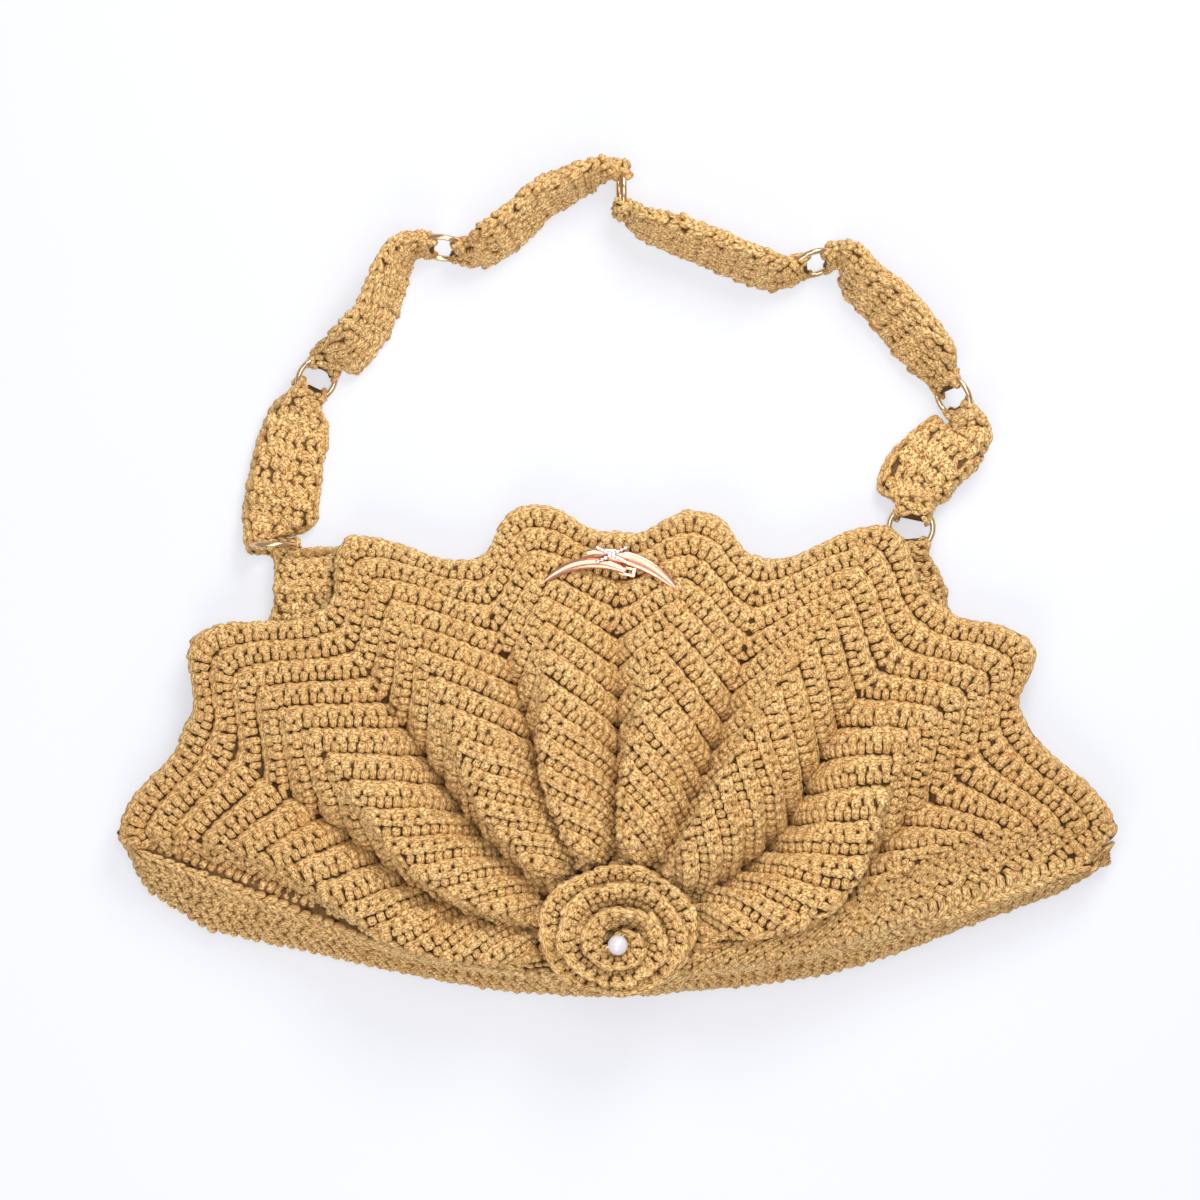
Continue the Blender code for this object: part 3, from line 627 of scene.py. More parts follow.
@dataclass
class StitchRows:
    """Gathers the places of many like stitches and joins them into one mesh."""

    stitch: Stitch
    seed: int
    wobble: float
    origins: list[np.ndarray] = field(default_factory=list)
    axes: list[np.ndarray] = field(default_factory=list)
    # Painted shade of each stitch, as a brightness
    lights: list[np.ndarray] = field(default_factory=list)

    def add(self, origins: np.ndarray, axes: np.ndarray, lights: np.ndarray) -> None:
        """Adds stitches at origins, with the three scaled axes of each as rows and its painted shade as a
        brightness.
        """
        self.origins.append(origins)
        self.axes.append(axes)
        self.lights.append(lights)

    def add_row(
        self,
        middle: np.ndarray,
        outer: np.ndarray,
        inner: np.ndarray,
        pitch: float,
        height: float,
        rise: float = 0.0,
        least_width: float = 0.0008,
        keep: Optional[Callable[[np.ndarray], np.ndarray]] = None,
        offset: float = 0.0,
        light: Optional[np.ndarray] = None,
    ) -> None:
        """Lays stitches along one row.

        Args:
            middle: closely spaced places along the row's middle.
            outer: the row's outer border at the same steps.
            inner: its inner border.
            pitch: the distance between stitches.
            height: how tall a stitch is where the row has its full width.
            rise: how far a stitch's middle stands off the surface.
            least_width: rows narrower than this get no stitch.
            keep: tells from the stitches' places which of them are made.
            offset: the share of a stitch by which the row starts later.
            light: the painted shade on the yarn, as a brightness at the same steps, or None for 1.
        """
        steps = np.linalg.norm(np.diff(middle, axis=0), axis=1)
        along = np.concatenate([[0.0], np.cumsum(steps)])
        count = int(along[-1] / pitch)
        if count < 2:
            return
        marks = (np.arange(count) + 0.5 + offset) / count * along[-1]
        half = along[-1] / count / 2

        def read(line: np.ndarray, at: np.ndarray) -> np.ndarray:
            """Reads a line of places at distances along the row."""
            return np.stack([np.interp(at, along, line[:, axis]) for axis in range(3)], axis=1)

        run = read(middle, marks + half) - read(middle, marks - half)
        across = read(outer, marks) - read(inner, marks)
        origin = (read(outer, marks) + read(inner, marks)) / 2
        length = np.linalg.norm(run, axis=1, keepdims=True)
        ahead = run / np.maximum(length, 1e-9)
        normal = normalised(np.cross(ahead, across))
        side = np.cross(normal, ahead)
        width = np.sum(across * side, axis=1, keepdims=True)
        fullness = np.clip(width / (FULL_WIDTH * pitch), LEAST_FULLNESS, 1.0)
        good = (width[:, 0] > least_width) & (length[:, 0] > LEAST_LENGTH * pitch)
        if keep is not None:
            good &= keep(origin)
        ahead = ahead * np.minimum(length, pitch * GREATEST_LENGTH)
        axes = np.stack([ahead, side * width, normal * (height * fullness)], axis=1)
        lights = np.ones(count) if light is None else np.interp(marks, along, light)
        origin = origin + normal * rise * fullness
        self.add(origin[good], axes[good], lights[good])

    def mesh(self, name: str) -> bpy.types.Mesh:
        """Joins the stitches into one mesh.

        Args:
            name: the mesh's name.

        Returns:
            The mesh, with each stitch a little turned, sized and toned by a seeded chance, darkened by
            painted shade towards its foot, and by its row's painted shade.
        """
        chance = np.random.default_rng(self.seed)
        origins, axes = np.concatenate(self.origins), np.concatenate(self.axes)
        count = len(origins)
        axes = axes * (1 + self.wobble * chance.standard_normal((count, 3, 1)).clip(-2, 2))
        swing = self.wobble * chance.standard_normal((count, 1)).clip(-2, 2)
        ahead, side, up = axes[:, 0], axes[:, 1], axes[:, 2]
        axes = np.stack([ahead + swing * side, side - swing * ahead, up], axis=1)
        nudge = 0.5 * self.wobble * chance.standard_normal((count, 3)).clip(-2, 2)
        origins = origins + np.einsum("nk,nkd->nd", nudge, axes)
        form = self.stitch
        points = (origins[:, None, :] + np.einsum("pk,nkd->npd", form.points, axes)).reshape(-1, 3)
        corners = (form.corners[None] + np.arange(count)[:, None] * len(form.points)).ravel()
        starts = (form.starts[None] + np.arange(count)[:, None] * len(form.corners)).ravel()
        mesh = bpy.data.meshes.new(name)
        mesh.vertices.add(len(points))
        mesh.loops.add(len(corners))
        mesh.polygons.add(len(starts))
        mesh.vertices.foreach_set("co", points.astype(np.float32).ravel())
        mesh.loops.foreach_set("vertex_index", corners.astype(np.int32))
        mesh.polygons.foreach_set("loop_start", starts.astype(np.int32))
        mesh.polygons.foreach_set("loop_total", np.tile(form.totals, count).astype(np.int32))
        mesh.update(calc_edges=True)
        layer = mesh.uv_layers.new(name="strand")
        shift = np.repeat(chance.random((count, 2)), len(form.corners), axis=0)
        marks = np.tile(form.marks, (count, 1)) + shift
        layer.data.foreach_set("uv", marks.astype(np.float32).ravel())
        # Random tone times the row's painted shade
        tones_with_shade = (1 - TONE_SPREAD * chance.random(count)) * np.concatenate(self.lights)
        # Painted shade: each stitch darkens towards its foot, where it lies deep between the others
        depth = DEEP_PAINTED_SHADE + (1 - DEEP_PAINTED_SHADE) * smooth_step((form.points[:, 2] - DEEP_SHADE_START) / DEEP_SHADE_REACH)
        add_tone_and_shade(mesh, (tones_with_shade[:, None] * depth[None]).ravel())
        mesh.shade_smooth()
        mesh.validate()
        return mesh


# The fan: the pleated surface that the front, the back and the gusset share


@dataclass(frozen=True)
class Fold:
    """One fold line of the fan, from the rosette out to the edge.

    lift is 1 on a raised pleat and -1 in a valley. Each pair of shares is a place across half
    the fan's width and up its height, at the foot, the two thirds and the edge.
    """

    name: str
    lift: float
    foot: tuple[float, float]
    inner: tuple[float, float]
    outer: tuple[float, float]
    edge: tuple[float, float]
    overhang: Overhang = Overhang.BEFORE


FOLDS = (
    Fold("left base", -0.2, (-0.065, 0.05), (-0.37, 0.085), (-0.67, 0.18), (-0.968, 0.29)),
    Fold("left tip", 0.8, (-0.065, 0.08), (-0.39, 0.115), (-0.68, 0.275), (-0.998, 0.338)),
    Fold("valley 1", -0.9, (-0.062, 0.10), (-0.355, 0.205), (-0.61, 0.38), (-0.862, 0.56)),
    Fold("pleat 2", 1.0, (-0.060, 0.12), (-0.36, 0.26), (-0.59, 0.51), (-0.845, 0.735)),
    Fold("valley 2", -1.0, (-0.054, 0.14), (-0.265, 0.335), (-0.435, 0.565), (-0.588, 0.786)),
    Fold("pleat 3", 1.0, (-0.044, 0.155), (-0.235, 0.385), (-0.37, 0.67), (-0.54, 0.935)),
    Fold("valley 3", -1.0, (-0.032, 0.165), (-0.12, 0.41), (-0.205, 0.65), (-0.294, 0.888)),
    Fold("pleat 4", 1.0, (-0.020, 0.173), (-0.115, 0.44), (-0.135, 0.72), (-0.184, 0.998)),
    Fold("valley 4", -1.0, (0.000, 0.175), (0.012, 0.43), (0.003, 0.69), (0.006, 0.945)),
    Fold("pleat 5", 1.0, (0.016, 0.173), (0.04, 0.445), (0.10, 0.715), (0.172, 0.984)),
    Fold("valley 5", -1.0, (0.030, 0.165), (0.16, 0.39), (0.24, 0.635), (0.296, 0.888)),
    Fold("pleat 6", 1.0, (0.042, 0.155), (0.22, 0.415), (0.37, 0.695), (0.54, 0.959)),
    Fold("valley 6", -1.0, (0.052, 0.14), (0.31, 0.305), (0.455, 0.57), (0.646, 0.80)),
    Fold("pleat 7", 1.0, (0.058, 0.12), (0.385, 0.215), (0.565, 0.51), (0.832, 0.715), Overhang.AFTER),
    Fold("valley 7", -0.9, (0.060, 0.10), (0.365, 0.145), (0.585, 0.36), (0.81, 0.578)),
    Fold("right tip", 0.8, (0.062, 0.08), (0.395, 0.125), (0.69, 0.31), (1.0, 0.348)),
    Fold("right base", -0.2, (0.062, 0.05), (0.365, 0.09), (0.665, 0.168), (0.956, 0.265)),
)
# The bag's lowest outline from left to right, as shares of half its width and of its height
BASE_OUTLINE = (
    (-0.995, 0.322), (-0.942, 0.214), (-0.82, 0.134), (-0.60, 0.09), (-0.42, 0.05), (-0.25, 0.019),
    (0.0, 0.0), (0.14, 0.016), (0.30, 0.03), (0.43, 0.051), (0.57, 0.096), (0.745, 0.169),
    (0.88, 0.21), (0.985, 0.27),
)


@dataclass(frozen=True)
class Place:
    """The named sizes of the bag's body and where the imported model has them."""

    width: float = 0.400
    height: float = 0.1964
    wall: float = 0.0045
    mouth_gap: float = 0.0078
    gusset_depth: float = 0.0210
    rounding: float = 0.0024
    ridge_count: int = 15
    gap: float = 0.0003
    rosette_radius: float = 0.033
    rosette_flatness: float = 0.82
    strap_span: float = 0.2952
    strap_rise: float = 0.1552

    @property
    def rim_top(self) -> float:
        """The height of the front panel's face at the mouth."""
        return 2 * self.wall + self.mouth_gap

    @property
    def belly_top(self) -> float:
        """The height of the front panel's face at the rosette."""
        return 2 * self.wall + self.gusset_depth

    @property
    def shift(self) -> np.ndarray:
        """The way from the construction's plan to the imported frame, read from the flat ring."""
        low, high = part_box("strap_ring_7")
        plan = self.strap(0.800, 0.046, False)
        middle = (low + high) / 2
        return np.array([middle.x - plan[0], middle.y - plan[1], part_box("back_panel")[0].z])

    def fan(self, across: float, up: float, placed: bool = True) -> np.ndarray:
        """Returns the place for shares of half the fan's width and of its height."""
        plan = np.array([across * self.width / 2, up * self.height, 0.0])
        return plan + self.shift if placed else plan

    def strap(self, across: float, up: float, placed: bool = True) -> np.ndarray:
        """Returns the place for shares of half the strap's span and of its rise."""
        foot = 0.918 * self.height
        plan = np.array([across * self.strap_span / 2, foot + up * self.strap_rise, 0.0])
        return plan + self.shift if placed else plan


@dataclass
class FanSurface:
    """The ripple fan's surface: folds that run out from the rosette, ridges that zigzag across."""

    sizes: Place
    folds: Sequence[Fold] = FOLDS
    pleat_height: float = 0.0152
    valley_depth: float = 1.9
    crest_breadth: float = 2.5
    lean: float = 0.0058
    lean_centre: float = 0.36
    lean_spread: float = 0.26
    gather_peak: float = 0.27
    zigzag: float = 0.92
    rib_height: float = 0.0040
    rib_share: float = 0.40
    rib_bed: float = 0.0028
    lip_width: float = 0.45
    base_sweep: float = 0.22
    groove_depth: float = 0.0090
    groove_column: float = 0.58
    groove_spread: float = 0.15
    rim_crowding: float = 0.243
    least_stand: float = 0.0032

    def __post_init__(self) -> None:
        """Turns the folds' table into arrays."""
        scale = np.array([self.sizes.width / 2, self.sizes.height])
        table = [(fold.foot, fold.inner, fold.outer, fold.edge) for fold in self.folds]
        self.corners = np.array(table) * scale + self.sizes.shift[:2]
        self.lifts = np.array([fold.lift for fold in self.folds])
        self.sides = np.array([fold.overhang.value for fold in self.folds])
        self.centre = self.sizes.fan(-0.004, 0.142)[:2]

    @property
    def flanks(self) -> int:
        """How many flanks the folds have between them."""
        return len(self.folds) - 1

    def fold_place(self, index: np.ndarray, share: np.ndarray) -> np.ndarray:
        """Returns plan places on fold lines at shares of the way out."""
        return catmull_rom(self.corners[index], share)

    def valley(self, column: np.ndarray) -> np.ndarray:
        """Returns how near each column is to a valley, from 0 on a crest to 1."""
        return (1 - np.interp(column, np.arange(len(self.lifts)), self.lifts)) / 2

    def share_on_ridge(self, column: np.ndarray, ridge: np.ndarray) -> np.ndarray:
        """Returns the way out at which a ridge line crosses each column.

        The crochet is worked outward in a zigzag, so a ridge dips towards the rosette in a valley.
        The ridges are broad near the rosette and narrow towards the rim.
        """
        ridge = ridge * (1 + self.rim_crowding * (1 - ridge))
        dip = np.clip(1 - ridge, 0, 1) ** 1.6 * self.valley(column) * self.zigzag
        past = np.maximum(1 - column, column - self.flanks + 1)
        near_base = np.clip(past, 0, self.lip_width) / self.lip_width
        sweep = self.base_sweep * near_base * (1 - np.clip(ridge, 0, 1) ** 8)
        return np.clip(ridge * (1 - dip) * (1 - sweep), 0.0, 1.0)

    def gather(self, share: np.ndarray) -> np.ndarray:
        """Returns how strongly the pleats stand at shares of the way out."""
        reach = share / self.gather_peak
        return (reach * np.exp(1 - reach)) ** 1.5 * smooth_step((0.95 - share) / 0.30)

    def pressed(self, plan: np.ndarray) -> np.ndarray:
        """Returns how free plan places are of the rosette that presses the pleats flat."""
        offset = plan - self.centre
        distance = np.hypot(offset[:, 0], offset[:, 1] / self.sizes.rosette_flatness)
        radius = self.sizes.rosette_radius
        return smooth_step((distance - 0.90 * radius) / (0.36 * radius))

    def stand(self, column: np.ndarray, share: np.ndarray) -> np.ndarray:
        """Returns the lift between folds: crests stay broad and fall steeply into valleys."""
        index = np.clip(column.astype(int), 0, self.flanks - 1)
        t = column - index
        left, right = self.lifts[index], self.lifts[index + 1]
        from_crest = np.where(left > right, t, 1 - t)
        high, low = np.maximum(left, right), np.minimum(left, right)
        lift = low + (high - low) * (1 - from_crest**self.crest_breadth)
        deepen = 1 + (self.valley_depth - 1) * smooth_step((0.75 - share) / 0.25)
        return np.where(lift < 0, lift * deepen, lift)

    def plan(self, column: np.ndarray, share: np.ndarray) -> np.ndarray:
        """Returns plan places for columns and shares of the way out."""
        index = np.clip(column.astype(int), 0, self.flanks - 1)
        t = (column - index)[:, None]
        place = self.fold_place(index, share) * (1 - t) + self.fold_place(index + 1, share) * t
        outward = normalised(place - self.centre)
        turn = np.where(self.lifts[index] > self.lifts[index + 1], 1.0, -1.0)[:, None]
        return place + outward * turn * self.sizes.rounding * np.sin(2 * np.pi * t) * share[:, None] ** 5

    def leaning(self, column: np.ndarray, share: np.ndarray) -> np.ndarray:
        """Returns how far the pleats' crests lean sideways over their valleys."""
        index = np.clip(np.rint(column).astype(int), 0, self.flanks)
        near = 1 - 2 * np.abs(column - index)
        before, after = (self.fold_place(index, np.clip(share + step, 0, 1)) for step in (-0.02, 0.02))
        way = after - before
        side = normalised(np.stack([-way[:, 1], way[:, 0]], axis=1))
        crest = np.clip(self.lifts[index], 0, 1) * smooth_step(near)
        fall = ((share - self.lean_centre) / self.lean_spread) ** 2
        strength = self.lean * np.exp(-fall) * crest * self.sides[index]
        return side * strength[:, None]

    def ground(self, column: np.ndarray, ridge: np.ndarray) -> np.ndarray:
        """Returns places on the pleated face under the ribs.

        Args:
            column: fold numbers, with the share of the flank after each as decimals.
            ridge: shares of the way out, counted along the zigzag ridges.

        Returns:
            One place for each column and ridge.
        """
        share = self.share_on_ridge(column, ridge)
        plan = self.plan(column, share)
        free = self.pressed(plan)
        pleat = self.stand(column, share) * self.pleat_height * self.gather(share) * free
        off_groove = (column - self.groove_column) / self.groove_spread
        groove = np.exp(-(off_groove**2)) * smooth_step((1 - share) / 0.06)
        pleat = pleat - self.groove_depth * groove * smooth_step(share / 0.3) * free
        arch = np.clip(np.cos(share * np.pi / 2), 0, 1) ** 0.8
        rise = self.sizes.rim_top + (self.sizes.belly_top - self.sizes.rim_top) * arch
        plan = plan + self.leaning(column, share)
        stand = np.maximum(rise + pleat - self.rib_bed, self.sizes.wall + self.least_stand)
        return np.column_stack([plan, stand + self.sizes.shift[2]])

    def point(self, column: np.ndarray, ridge: np.ndarray, share_of_rib: float = 1.0) -> np.ndarray:
        """Returns places on the ribbed face.

        Args:
            column: fold numbers, with the share of the flank after each as decimals.
            ridge: shares of the way out, counted along the zigzag ridges.
            share_of_rib: how much of the ribs' height the places have.

        Returns:
            One place for each column and ridge, moved off the face along its normal.
        """
        ridge = np.clip(ridge, 0.0, 1.0)
        step, slip = 0.06, 0.012
        low, high = np.clip(column - step, 0, self.flanks), np.clip(column + step, 0, self.flanks)
        run = self.ground(high, ridge) - self.ground(low, ridge)
        near, far = np.clip(ridge - slip, 0, 1), np.clip(ridge + slip, 0, 1)
        reach = (self.ground(column, far) - self.ground(column, near)) / (far - near)[:, None]
        ahead = normalised(run)
        across = reach - ahead * np.sum(reach * ahead, axis=1, keepdims=True)
        spacing = np.linalg.norm(across, axis=1) / self.sizes.ridge_count
        normal = normalised(np.cross(ahead, across))
        inside = (ridge * self.sizes.ridge_count) % 1.0
        inside = np.where(ridge >= 1.0, 1.0, inside)
        swell = 1 - np.abs(2 * inside - 1) ** 2.4
        rib = np.minimum(self.rib_height, self.rib_share * spacing) * swell * share_of_rib
        return self.ground(column, ridge) + normal * rib[:, None]

    def flat_point(self, column: np.ndarray, ridge: np.ndarray, height: float) -> np.ndarray:
        """Returns places on the flat fan at a height, for the back panel."""
        plan = self.plan(column, self.share_on_ridge(column, ridge))
        return np.column_stack([plan, np.full(len(column), height)])


@dataclass(frozen=True)
class RowPlan:
    """One row of stitches: its kind, its borders as shares across the ridge or strip, its sizes."""

    stitch: str
    inner: float
    outer: float
    pitch: float
    height: float

    @property
    def lines(self) -> tuple[float, float, float]:
        """The row's inner border, outer border and middle."""
        return self.inner, self.outer, (self.inner + self.outer) / 2


# The narrow ridges near the rim have two rows of stitches, the broad ones near the rosette three
RIM_ROWS = (RowPlan("post", 0.03, 0.38, 0.0034, 0.0032), RowPlan("head", 0.32, 1.00, 0.0050, 0.0038))
HEART_ROWS = (
    RowPlan("post", 0.03, 0.32, 0.0038, 0.0034),
    RowPlan("bead", 0.29, 0.58, 0.0044, 0.0040),
    RowPlan("head", 0.52, 1.00, 0.0053, 0.0042),
)
BACK_ROWS = (RowPlan("knot", 0.03, 0.50, 0.0052, 0.0026), RowPlan("knot", 0.50, 0.98, 0.0052, 0.0026))
BACK_EDGE = RowPlan("loop", 0.970, 0.994, 0.0040, 0.0036)
# The gusset's rows from its foot to its upper seam
GUSSET_ROWS = (
    RowPlan("knot", 0.0, 0.20, 0.0046, 0.0036),
    RowPlan("knot", 0.19, 0.39, 0.0046, 0.0036),
    RowPlan("knot", 0.38, 0.58, 0.0046, 0.0036),
    RowPlan("knot", 0.57, 0.74, 0.0046, 0.0036),
    RowPlan("chain", 0.70, 1.02, 0.0048, 0.0034),
)
ROSETTE_ROWS = (
    (Face.UPPER, RowPlan("knot", 0.02, 0.30, 0.0052, 0.0036)),
    (Face.UPPER, RowPlan("bead", 0.28, 0.48, 0.0036, 0.0036)),
    (Face.UPPER, RowPlan("post", 0.46, 0.68, 0.0028, 0.0036)),
    (Face.UPPER, RowPlan("head", 0.62, 1.00, 0.0052, 0.0036)),
    (Face.LOWER, RowPlan("knot", 0.20, 0.58, 0.0052, 0.0036)),
    (Face.LOWER, RowPlan("knot", 0.58, 0.96, 0.0052, 0.0036)),
)


def stitch_rows(seed: int, kinds: Sequence[str], wobble: float) -> dict[str, StitchRows]:
    """Makes empty rows for each kind of stitch.

    Args:
        seed: the seed of the first kind's chance.
        kinds: the kinds of stitch.
        wobble: how much the stitches vary.

    Returns:
        The empty rows by kind.
    """
    return {kind: StitchRows(STITCHES[kind], seed + step, wobble) for step, kind in enumerate(kinds)}


def show_rows(name: str, rows: dict[str, StitchRows], palette: Palette) -> list[bpy.types.Object]:
    """Makes one piece for each kind of stitch gathered for a part.

    Args:
        name: the part's name.
        rows: the gathered stitches by kind.
        palette: the finishes.

    Returns:
        The pieces.
    """
    pieces = []
    for kind, gathered in rows.items():
        if gathered.origins:
            mesh = gathered.mesh(f"{name}_{kind}")
            pieces.append(finish_object(f"{name}_{kind}_stitches", mesh, palette.yarn, "golden_crochet"))
    return pieces


# Borders of the lip's rows, as column numbers from the base seam inward: a chain, then posts
LEFT_LIP = (0.00, 0.20, 0.46)
RIGHT_LIP = (16.0, 15.84, 15.64)
LIP_ROWS = (("chain", 0.0048), ("post", 0.0036))


@dataclass
class FrontPanel:
    """The pleated front of the fan, with its ridges of heads, posts and beads."""

    fan: FanSurface
    palette: Palette
    columns_a_flank: int = 12
    steps_a_ridge: int = 4
    heart_ridges: int = 7
    # Painted shade: how much darker the stitches are painted deep in the pleats' valleys and towards the tips
    valley_shade: float = 0.32
    tip_shade: float = 0.30
    sink: float = 0.0008
    wall: float = 0.0030
    ridge_margins: tuple[float, float] = (0.03, 0.05)
    lip_margins: tuple[float, float] = (0.03, 0.05)
    lip_reach: tuple[float, float] = (0.03, 0.992)
    lip_height: float = 0.0040
    lip_rise: float = 0.0024

    def clear_of_rosette(self, places: np.ndarray) -> np.ndarray:
        """Tells which places lie outside the rosette's foot."""
        return self.fan.pressed(places[:, :2]) > 0.02

    def build(self) -> bpy.types.Object:
        """Builds the shell and its stitches.

        Returns:
            The shell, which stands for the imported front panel.
        """
        fan = self.fan
        ridges = fan.sizes.ridge_count

        def face(first: np.ndarray, second: np.ndarray) -> np.ndarray:
            """Returns the shell's places under the stitches."""
            return fan.point(first * fan.flanks, second, 0.55) - np.array([0, 0, self.sink])

        steps = (fan.flanks * self.columns_a_flank, ridges * self.steps_a_ridge)
        mesh = grid_mesh("front_shell", steps, face)
        # The shell is painted in shade, dark between the stitches
        shell = walled_shell("front_shell", mesh, self.palette.shaded_inner_yarn, self.wall)
        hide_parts("front_panel")
        rows = stitch_rows(11, ("bead", "post", "head", "chain"), 0.07)
        start, end = (lip[-1] + margin for lip, margin in zip((LEFT_LIP, RIGHT_LIP), self.ridge_margins))
        columns = np.linspace(start, end, fan.flanks * 32 + 1)
        for ridge in range(ridges):
            out = fan.share_on_ridge(columns, np.full_like(columns, (ridge + 0.5) / ridges))
            # Painted shade: stitches darker deep in the pleats' valleys and towards the fan's tips
            light = 1 - self.valley_shade * fan.valley(columns) ** 3 * np.clip(fan.gather(out), 0, 1)
            light = light - self.tip_shade * (2 * columns / fan.flanks - 1) ** 2 * out**2
            for row in HEART_ROWS if ridge < self.heart_ridges else RIM_ROWS:
                inner, outer, middle = (
                    fan.point(columns, np.full_like(columns, min(1.0, (ridge + share) / ridges)))
                    for share in row.lines
                )
                rows[row.stitch].add_row(
                    middle, outer, inner, row.pitch, row.height, keep=self.clear_of_rosette, light=light
                )
        self.add_lips(rows)
        stitches = show_rows("front", rows, self.palette)
        return shell

    def add_lips(self, rows: dict[str, StitchRows]) -> None:
        """Adds the rows that run along the base seam: a bright chain, then upright stitches."""
        out = np.linspace(*self.lip_reach, 260)
        before, after = self.lip_margins
        for borders, sign in ((LEFT_LIP, 1), (RIGHT_LIP, -1)):
            for (kind, pitch), low, high in zip(LIP_ROWS, borders, borders[1:]):
                outer, inner, middle = (
                    self.fan.point(np.full_like(out, column), out, 0.0)
                    for column in (low - before * sign, high + after * sign, (low + high) / 2)
                )
                lines = (line[::sign] for line in (middle, outer, inner))
                rows[kind].add_row(*lines, pitch, self.lip_height, self.lip_rise, keep=self.clear_of_rosette)


@dataclass
class BackPanel:
    """The plain back of the fan, worked in the same zigzag and lying flat."""

    fan: FanSurface
    palette: Palette
    rise: float = 0.0012
    wall: float = 0.0026
    shell_drop: float = 0.0006
    edge_drop: float = 0.0018
    edge_rise: float = 0.0002
    least_width: float = 0.0016

    def build(self) -> bpy.types.Object:
        """Builds the shell and its stitches.

        Returns:
            The shell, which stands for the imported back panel.
        """
        fan = self.fan
        top = fan.sizes.wall + fan.sizes.shift[2]

        def face(first: np.ndarray, second: np.ndarray) -> np.ndarray:
            """Returns the shell's places, with its face up."""
            return fan.flat_point(first * fan.flanks, second, top - self.shell_drop)

        mesh = grid_mesh("back_shell", (fan.flanks * 8, fan.sizes.ridge_count * 2), face)
        shell = walled_shell("back_shell", mesh, self.palette.yarn, self.wall)
        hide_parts("back_panel")
        rows = stitch_rows(21, ("knot", "loop"), 0.09)
        columns = np.linspace(0, fan.flanks, fan.flanks * 16 + 1)
        ridges = fan.sizes.ridge_count
        for ridge in range(1, ridges):
            for row in BACK_ROWS:
                inner, outer, middle = (
                    fan.flat_point(columns, np.full_like(columns, (ridge + share) / ridges), self.rise)
                    for share in row.lines
                )
                rows["knot"].add_row(
                    middle, inner, outer, row.pitch, row.height, least_width=self.least_width
                )
        inner, outer, middle = (
            fan.flat_point(columns, np.full_like(columns, share), top - self.edge_drop)
            for share in BACK_EDGE.lines
        )
        rows["loop"].add_row(middle, outer, inner, BACK_EDGE.pitch, BACK_EDGE.height, self.edge_rise)
        stitches = show_rows("back", rows, self.palette)
        return shell


def back_folds() -> list[Fold]:
    """Returns the fan's folds with one foot and with the base outline as its first and last."""
    foot = (0.0, 0.07)
    inside = [Fold(f.name, f.lift, foot, f.inner, f.outer, f.edge) for f in FOLDS[1:-1]]
    first = Fold("left rim", -0.2, foot, (-0.34, 0.037), (-0.66, 0.104), (-0.955, 0.235))
    last = Fold("right rim", -0.2, foot, (0.34, 0.038), (0.66, 0.134), (0.955, 0.255))
    return [first, *inside, last]


@dataclass
class Gusset:
    """The base band between the two panels: a bright rim chain above rows of small knots."""

    fan: FanSurface
    palette: Palette
    wall: float = 0.0036
    bulge: float = 0.0022
    bulge_fade: float = 0.10
    tip_share: float = 0.04
    seam_drop: float = 0.0015
    flare: float = 1.2
    shell_margin: float = 0.012
    row_margin: float = 0.008
    row_rise: float = 0.0008

    def seams(self, share: np.ndarray) -> tuple[np.ndarray, np.ndarray]:
        """Returns the upper and lower seam at shares of the way from left to right."""
        fan, sizes = self.fan, self.fan.sizes
        reach = np.abs(share * 2 - 1) * (1 + self.tip_share)
        past = np.clip((reach - 1) / self.tip_share, 0, 1)
        column = np.where(share < 0.5, past, fan.flanks - past)
        upper = fan.ground(column, np.clip(reach, 0, 1))
        upper[:, 2] -= self.seam_drop
        outline = np.array(BASE_OUTLINE)
        across = (upper[:, 0] - sizes.shift[0]) / (sizes.width / 2)
        up = np.interp(across, outline[:, 0], outline[:, 1])
        lower = np.column_stack(
            [upper[:, 0], up * sizes.height + sizes.shift[1], np.full(len(up), sizes.wall + sizes.shift[2])]
        )
        return upper, lower

    def face(self, along: np.ndarray, climb: np.ndarray) -> np.ndarray:
        """Returns places on the gusset's outer face, from its foot to its upper seam."""
        upper, lower = self.seams(along)
        place = lower + (upper - lower) * climb[:, None]
        out = np.zeros_like(place)
        out[:, 0] = (along - 0.5) * self.flare
        out[:, 1] = -1.0
        full = smooth_step(np.minimum(along, 1 - along) / self.bulge_fade)
        bulge = self.bulge * full * np.sin(np.pi * np.clip(climb, 0, 1))
        return place + normalised(out) * bulge[:, None]

    def build(self) -> bpy.types.Object:
        """Builds the band and its stitches.

        Returns:
            The shell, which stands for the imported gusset.
        """

        def face(first: np.ndarray, second: np.ndarray) -> np.ndarray:
            """Returns the shell's places, which end inside the rows."""
            return self.face(self.shell_margin + (1 - 2 * self.shell_margin) * first, second)

        mesh = grid_mesh("gusset_shell", (120, 10), face)
        shell = walled_shell("gusset_shell", mesh, self.palette.yarn, self.wall)
        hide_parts("gusset")
        rows = stitch_rows(31, ("knot", "chain"), 0.09)
        along = np.linspace(self.row_margin, 1 - self.row_margin, 500)
        for row in GUSSET_ROWS:
            inner, outer, middle = (self.face(along, np.full_like(along, climb)) for climb in row.lines)
            rows[row.stitch].add_row(middle, outer, inner, row.pitch, row.height, self.row_rise)
        stitches = show_rows("gusset", rows, self.palette)
        return shell


# The rosette with its pearl


@dataclass(frozen=True)
class RibbonStation:
    """One section of the rosette's rolled ribbon, as shares of its radius and its height."""

    turn: float
    foot: float
    lip: float
    height: float


ROSETTE_RIBBON = (
    RibbonStation(0.0, 0.70, 1.0, 0.36),
    RibbonStation(1.0, 0.50, 0.93, 0.44),
    RibbonStation(1.3, 0.44, 0.81, 0.60),
    RibbonStation(2.0, 0.30, 0.70, 0.74),
    RibbonStation(2.4, 0.22, 0.50, 0.90),
    RibbonStation(3.0, 0.10, 0.40, 1.0),
    RibbonStation(3.55, 0.05, 0.15, 0.94),
)


